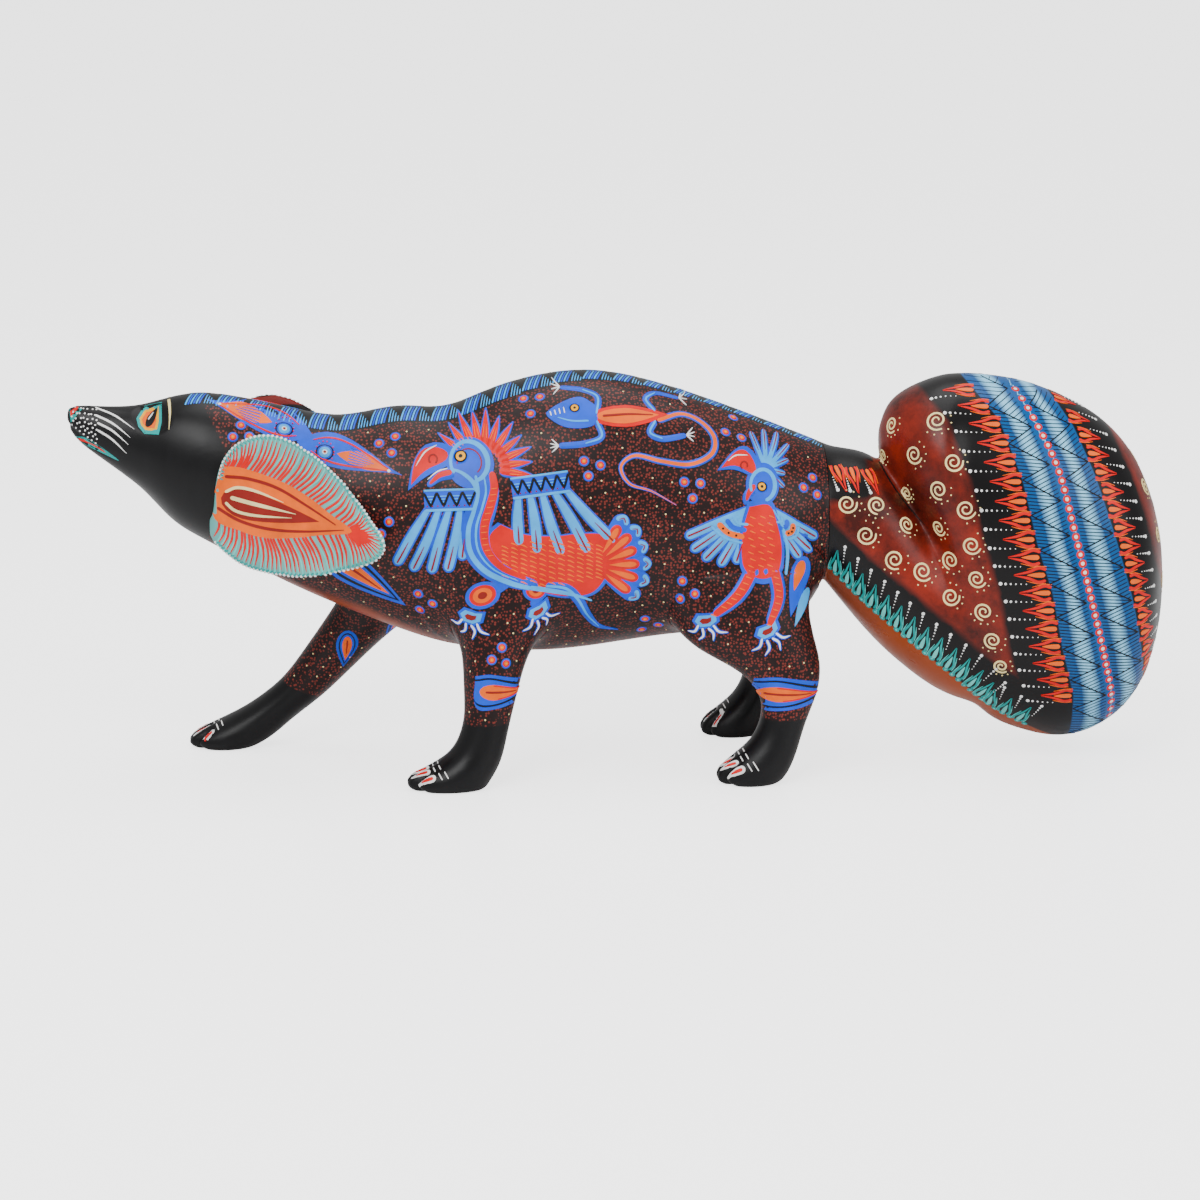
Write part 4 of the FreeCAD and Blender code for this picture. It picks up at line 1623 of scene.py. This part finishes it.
def flame(patch, long, wide, outer, inner):
    """A petal of two brushed flanks, each with a fine line outside it, about a coloured core."""
    for sign in (-1, 1):
        flank = [(0.6, sign * wide * 0.30), (long * 0.26, sign * wide * 0.40),
                 (long * 0.58, sign * wide * 0.17), (long, sign * 0.2)]
        stroke(patch, outer, flank, wide * 0.19, 1, (1.0, 0.12))
        whisker = [(0.5, sign * wide * 0.47), (long * 0.3, sign * wide * 0.47),
                   (long * 0.62, sign * wide * 0.33)]
        stroke(patch, inner, whisker, wide * 0.07, 1, (0.6, 0.3))
    stroke(patch, inner, [(1.0, 0.0), (long * 0.60, 0.0)], wide * 0.30, 2, (1.0, 0.1))


def spiral(view, middle, radius, turned):
    """A cream spiral with small dots below it."""
    patch = Patch(view, middle, turned)
    line = []
    for i in range(25):
        angle = math.radians(30 * i * 0.93)
        reach = radius * (0.16 + 0.84 * i / 24)
        line.append((reach * math.cos(angle), reach * math.sin(angle)))
    stroke(patch, "cream", line, 1.15, 1, (0.7, 0.8))
    for angle in range(-120, 31, 30):
        a = math.radians(angle)
        dot(patch, "cream", (1.42 * radius * math.cos(a), 1.42 * radius * math.sin(a)), 0.5, 0)


def spaced(line, pitch, walked=0.0):
    """Places a pitch apart along a line; walked says how much of the first pitch is done already."""
    spots = []
    for before, after in zip(line, line[1:]):
        walked += np.linalg.norm(after - before)
        if walked >= pitch:
            spots.append(after)
            walked = 0.0
    return spots


def along_edge(rows, pitch, low, high):
    """Places about one pitch apart along an edge given as x by height."""
    line = curve([(x, z) for z, x in sorted(rows) if low <= z <= high], 0.5)
    return [line[0]] + spaced(line, pitch)


def band_edge(view, rows, heading, long, pitch):
    """Flame petals and rows of dots that stand on one edge of the tail's band."""
    for x, z in along_edge(rows, pitch, 6, 199):
        if view.place((x, z)) is None:
            continue
        patch = Patch(view, (x, z)).aimed(Vector((heading, 0, 0.06 * (z - 100) / 100)))
        flame(patch, long, pitch * 0.98, "red", "orange")
        sizes = (0.32, 0.38, 0.46, 0.58, 0.74, 1.05)
        row(patch, "white", (long * 0.62, pitch / 2), (long * 1.4, pitch / 2), sizes)


def paint_band(view):
    """Bead line and fine black hatching in a zigzag on both halves of the blue band."""
    for x, z in along_edge(BEADS, 4.3, 3, 199):
        rings(view, (x, z), ("red", 2.25), ("white", 1.15))
    for left_rows, right_rows, insets in ((BAND_LEFT, BEADS, (0, 2.4)), (BEADS, BAND_RIGHT, (2.4, 0))):

        def spot(share, height):
            left = float(steps(height, left_rows)) + insets[0]
            right = float(steps(height, right_rows)) - insets[1]
            return (left + (right - left) * share, height - 0.1 * (right - left) * share)

        rise = 17.0
        z = -4.0
        while z < 196:
            peak = z + rise / 2
            stroke(view, "black", [spot(0, z), spot(0.5, z + rise / 4), spot(1, peak)], 0.75, 1)
            stroke(view, "black", [spot(1, peak), spot(0.5, peak + rise / 4), spot(0, z + rise)], 0.75, 1)
            for i in range(1, 10):
                height = z + rise * i / 10
                reach = 1 - abs(2 * i / 10 - 1)
                if reach > 0.12:
                    stroke(view, "black", [spot(0, height), spot(reach, height)], 0.55, 0)
            for i in range(1, 9):
                share = i / 9
                stroke(view, "black",
                       [spot(1 - share, peak + rise / 2 * share), spot(1, peak + rise * share)], 0.55, 0)
            z += rise


def paint_tail(view):
    """One flank of the tail: a painted shadow line down the crease, both edges of the band, the teal row, the
    spirals and the root.
    """
    # A thin black stroke down the crease between root and curl is painted shadow, darkening the groove where
    # shade falls.
    crease = [(127, 156), (134, 143), (142, 132), (151, 122)]
    stroke(view, "black", crease, 1.3, 0, (0.6, 0.1))
    band_edge(view, BAND_LEFT, -1, 16.5, 9.2)
    band_edge(view, BAND_RIGHT, 1, 13.5, 9.2)
    paint_band(view)
    teal = [(x, z) for x, z in TEAL_EDGE if x < 210]
    line = curve(sorted(teal), 0.5)
    for x, z in spaced(line, 8.0, walked=8.0):
        if view.place((x, z)) is None:
            continue
        patch = Patch(view, (x, z)).aimed(Vector((0.42, 0, 0.9)))
        flame(patch, 15.5, 7.4, "teal", "aqua")
        row(patch, "white", (9.5, -4.0), (19.5, -4.0), (0.3, 0.35, 0.42, 0.52, 0.66, 0.95))
    for spot in spaced(line, 4.2):
        rings(view, spot, ("teal", 1.75), ("aqua", 0.75))
    for i, (x, z, radius) in enumerate((
        (140, 187, 4.4), (154, 177, 5.4), (134, 172, 4.4), (143, 160, 5.0), (161, 158, 5.0), (131, 155, 3.8),
        (154, 144, 5.0), (141, 139, 3.8), (167, 135, 5.0), (110, 136, 5.0), (125, 135, 4.8), (140, 125, 4.6),
        (155, 124, 4.4), (170, 117, 4.8), (119, 121, 5.0), (161, 108, 5.0), (133, 109, 5.0), (147, 103, 5.2),
        (173, 100, 4.8), (161, 90, 4.8), (177, 83, 4.8), (182, 68, 4.6), (187, 54, 4.0),
    )):
        if view.place((x, z)) is not None:
            spiral(view, (x, z), radius, 25 * (i % 5) - 40)
    for i in range(3):
        x = 105.0 + 7.8 * i
        patch = Patch(view, (x, 153.5 - 1.2 * i)).aimed(Vector((0.01, 0, -1)))
        flame(patch, 17, 7.2, "red", "orange")
        beside = 3.9 * view.side
        row(patch, "white", (7.5, beside), (15.0, beside), (0.3, 0.38, 0.46, 0.58, 0.75, 1.0))


def paint_tail_end(tree):
    """Spirals on the mottled round end of the tail."""
    view = Behind(tree, "tail", NEAR)
    for i, middle in enumerate(END_SPIRALS):
        spiral(view, middle, 4.7, 25 * (i % 5) - 40)


# --------------------------------------------------------- painting it all ---

# Middles of the spirals on the tail's end: along +Y, and up.
END_SPIRALS = (
    (0, 152), (-17, 140), (17, 140), (0, 128), (-19, 116), (19, 116), (0, 104), (-14, 92), (14, 92), (0, 80),
)

BROAD_TRIADS = (
    ((-187, 178), (-191, 173), (-183, 173)),
    ((-120, 169), (-112, 172), (-114, 165)),
    ((-116, 133), (-120, 127)),
    ((-49, 189), (-41, 190), (-46, 183)),
    ((-21, 162), (-13, 160), (-19, 155)),
    ((28, 151), (36, 150), (32, 143)),
    ((27, 102), (33, 96), (26, 93)),
    ((-102, 96), (-95, 91), (-101, 87)),
    ((10, 80), (17, 76), (9, 73)),
    ((-62, 72), (-67, 66), (-60, 64)),
    ((55, 177), (50, 172), (58, 169)),
    ((93, 149), (88, 145), (95, 141)),
)


def paint_side(side):
    """All motifs of one flank, mirrored for the other."""
    flank = Side(figure_tree, "figure", side)
    for middles in BROAD_TRIADS:
        triad(flank, *middles)
    eye_leaf(flank, (-204, 189), (-152, 172), (-166, 175.5), 13, 0.68, 0.5)
    eye_leaf(flank, (-109, 155), (-160, 170), (-146.5, 165), 14.5, 0.66, -1.0)
    throat_leaf(flank)
    great_bird(flank)
    lizard(flank)
    small_bird(flank)
    if side == NEAR:
        leg_band(flank, -75, -49, 41.5, 58.5)
    else:
        leg_drops(flank, (((-127, 56), 42), ((-107, 68), 48)))
    leg_band(flank, 62, 96, 38, 55)
    face(flank)
    paint_feet(figure_tree, side)
    spine_hatch(Top(figure_tree, "figure", side))
    cream_dots(flank, (-212, 32), (99, 200))


def inner_drops():
    """The drops seen on the striding foreleg's inner face, from between the legs."""
    tree = tree_of(leg_skins["front_right"].data)
    leg_drops(Side(tree, "figure", NEAR), (((-136, 55), 84), ((-109, 68), 48)))


paint_side(NEAR)
paint_side(FAR)
inner_drops()
tail_tree = tree_of(tail.data)
for side in (NEAR, FAR):
    paint_tail(Side(tail_tree, "tail", side))
paint_tail_end(tail_tree)
for ear, side in zip(EARS, (NEAR, FAR)):
    paint_ear(Side(tree_of(ear_skins[ear].data), ear, side))
inks = {colour: paint(colour) for colour in sorted({key[1] for key in PAINTS.meshes})}
paint_objects(inks)

coat = body_paint()
mark_body(body)
for leg in LEGS:
    mark_body(leg_skins[leg], True, leg == "front_right")
mark_tail(tail)
for ear, side in zip(EARS, (NEAR, FAR)):
    mark_ear(ear_skins[ear], side)


def dress(thing, node, moving, material):
    """Put a skin in place of its CAD solid."""
    thing.data.materials.clear()
    thing.data.materials.append(material)
    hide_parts(node)
    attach(thing, moving)


dress(body, "body_carving", "figure", coat)
for leg in LEGS:
    dress(leg_skins[leg], leg + "_leg", "figure", coat)
sharpen(body)
dress(tail, "tail", "tail", tail_paint())
sharpen(tail, 70)
ear_coat = ear_paint()
for ear in EARS:
    dress(ear_skins[ear], ear, ear, ear_coat)
    sharpen(ear_skins[ear])
wood = bare_copal()
for node in [leg + "_dowel" for leg in LEGS] + [ear + "_peg" for ear in EARS] + ["tail_peg"]:
    nodes[node].data.materials.clear()
    nodes[node].data.materials.append(wood)


# ----------------------------------------------- floor, lights and camera ---


FLOOR_GLOW = 2.2
WORLD_LIGHT = 0.66
ELEVATION = math.radians(13)
AZIMUTH = math.radians(-4.5)
DISTANCE = 2.2
LENS = 132
LOOK_AT = Vector((-9.8 * MM, 0, 82.6 * MM))


def studio():
    """A pale floor under a bright, soft, white studio."""
    bpy.ops.mesh.primitive_plane_add(size=14)
    floor = bpy.context.object
    floor.name = "floor"
    material = bpy.data.materials.new("floor")
    material.use_nodes = True
    shader = material.node_tree.nodes["Principled BSDF"]
    shader.inputs["Base Color"].default_value = (0.93, 0.93, 0.935, 1)
    shader.inputs["Roughness"].default_value = 0.28
    shader.inputs["Specular IOR Level"].default_value = 0.35
    shader.inputs["Emission Color"].default_value = (1, 1, 1, 1)
    rays = material.node_tree.nodes.new("ShaderNodeLightPath")
    lift = material.node_tree.nodes.new("ShaderNodeMath")
    lift.operation = "MULTIPLY"
    lift.inputs[1].default_value = FLOOR_GLOW
    material.node_tree.links.new(rays.outputs["Is Camera Ray"], lift.inputs[0])
    material.node_tree.links.new(lift.outputs[0], shader.inputs["Emission Strength"])
    floor.data.materials.append(material)
    world = bpy.data.worlds.new("studio")
    SCENE.world = world
    world.use_nodes = True
    world.node_tree.nodes["Background"].inputs["Color"].default_value = (1, 1, 1, 1)
    world.node_tree.nodes["Background"].inputs["Strength"].default_value = WORLD_LIGHT
    softbox("key", (-0.7, -1.3, 1.5), 1.1, 28)
    softbox("fill", (1.2, -1.1, 0.9), 1.0, 10)
    softbox("top", (0.1, 0.2, 1.7), 1.2, 14)


def softbox(name, place, size, power):
    """A square area light aimed at the figure."""
    light = bpy.data.lights.new(name, "AREA")
    light.shape = "SQUARE"
    light.size = size
    light.energy = power
    lamp = link(name, light)
    lamp.location = place
    aim = Vector((0, 0, 0.1)) - Vector(place)
    lamp.rotation_euler = aim.to_track_quat("-Z", "Y").to_euler()


def camera():
    """A little above the figure and slightly ahead of square on."""
    data = bpy.data.cameras.new("camera")
    view = link("camera", data)
    data.sensor_width = 36
    data.lens = LENS
    data.clip_end = 30
    level = math.cos(ELEVATION)
    back = Vector((math.sin(AZIMUTH) * level, -math.cos(AZIMUTH) * level, math.sin(ELEVATION)))
    view.location = LOOK_AT + back * DISTANCE
    view.rotation_euler = back.to_track_quat("Z", "Y").to_euler()
    SCENE.camera = view


studio()
camera()
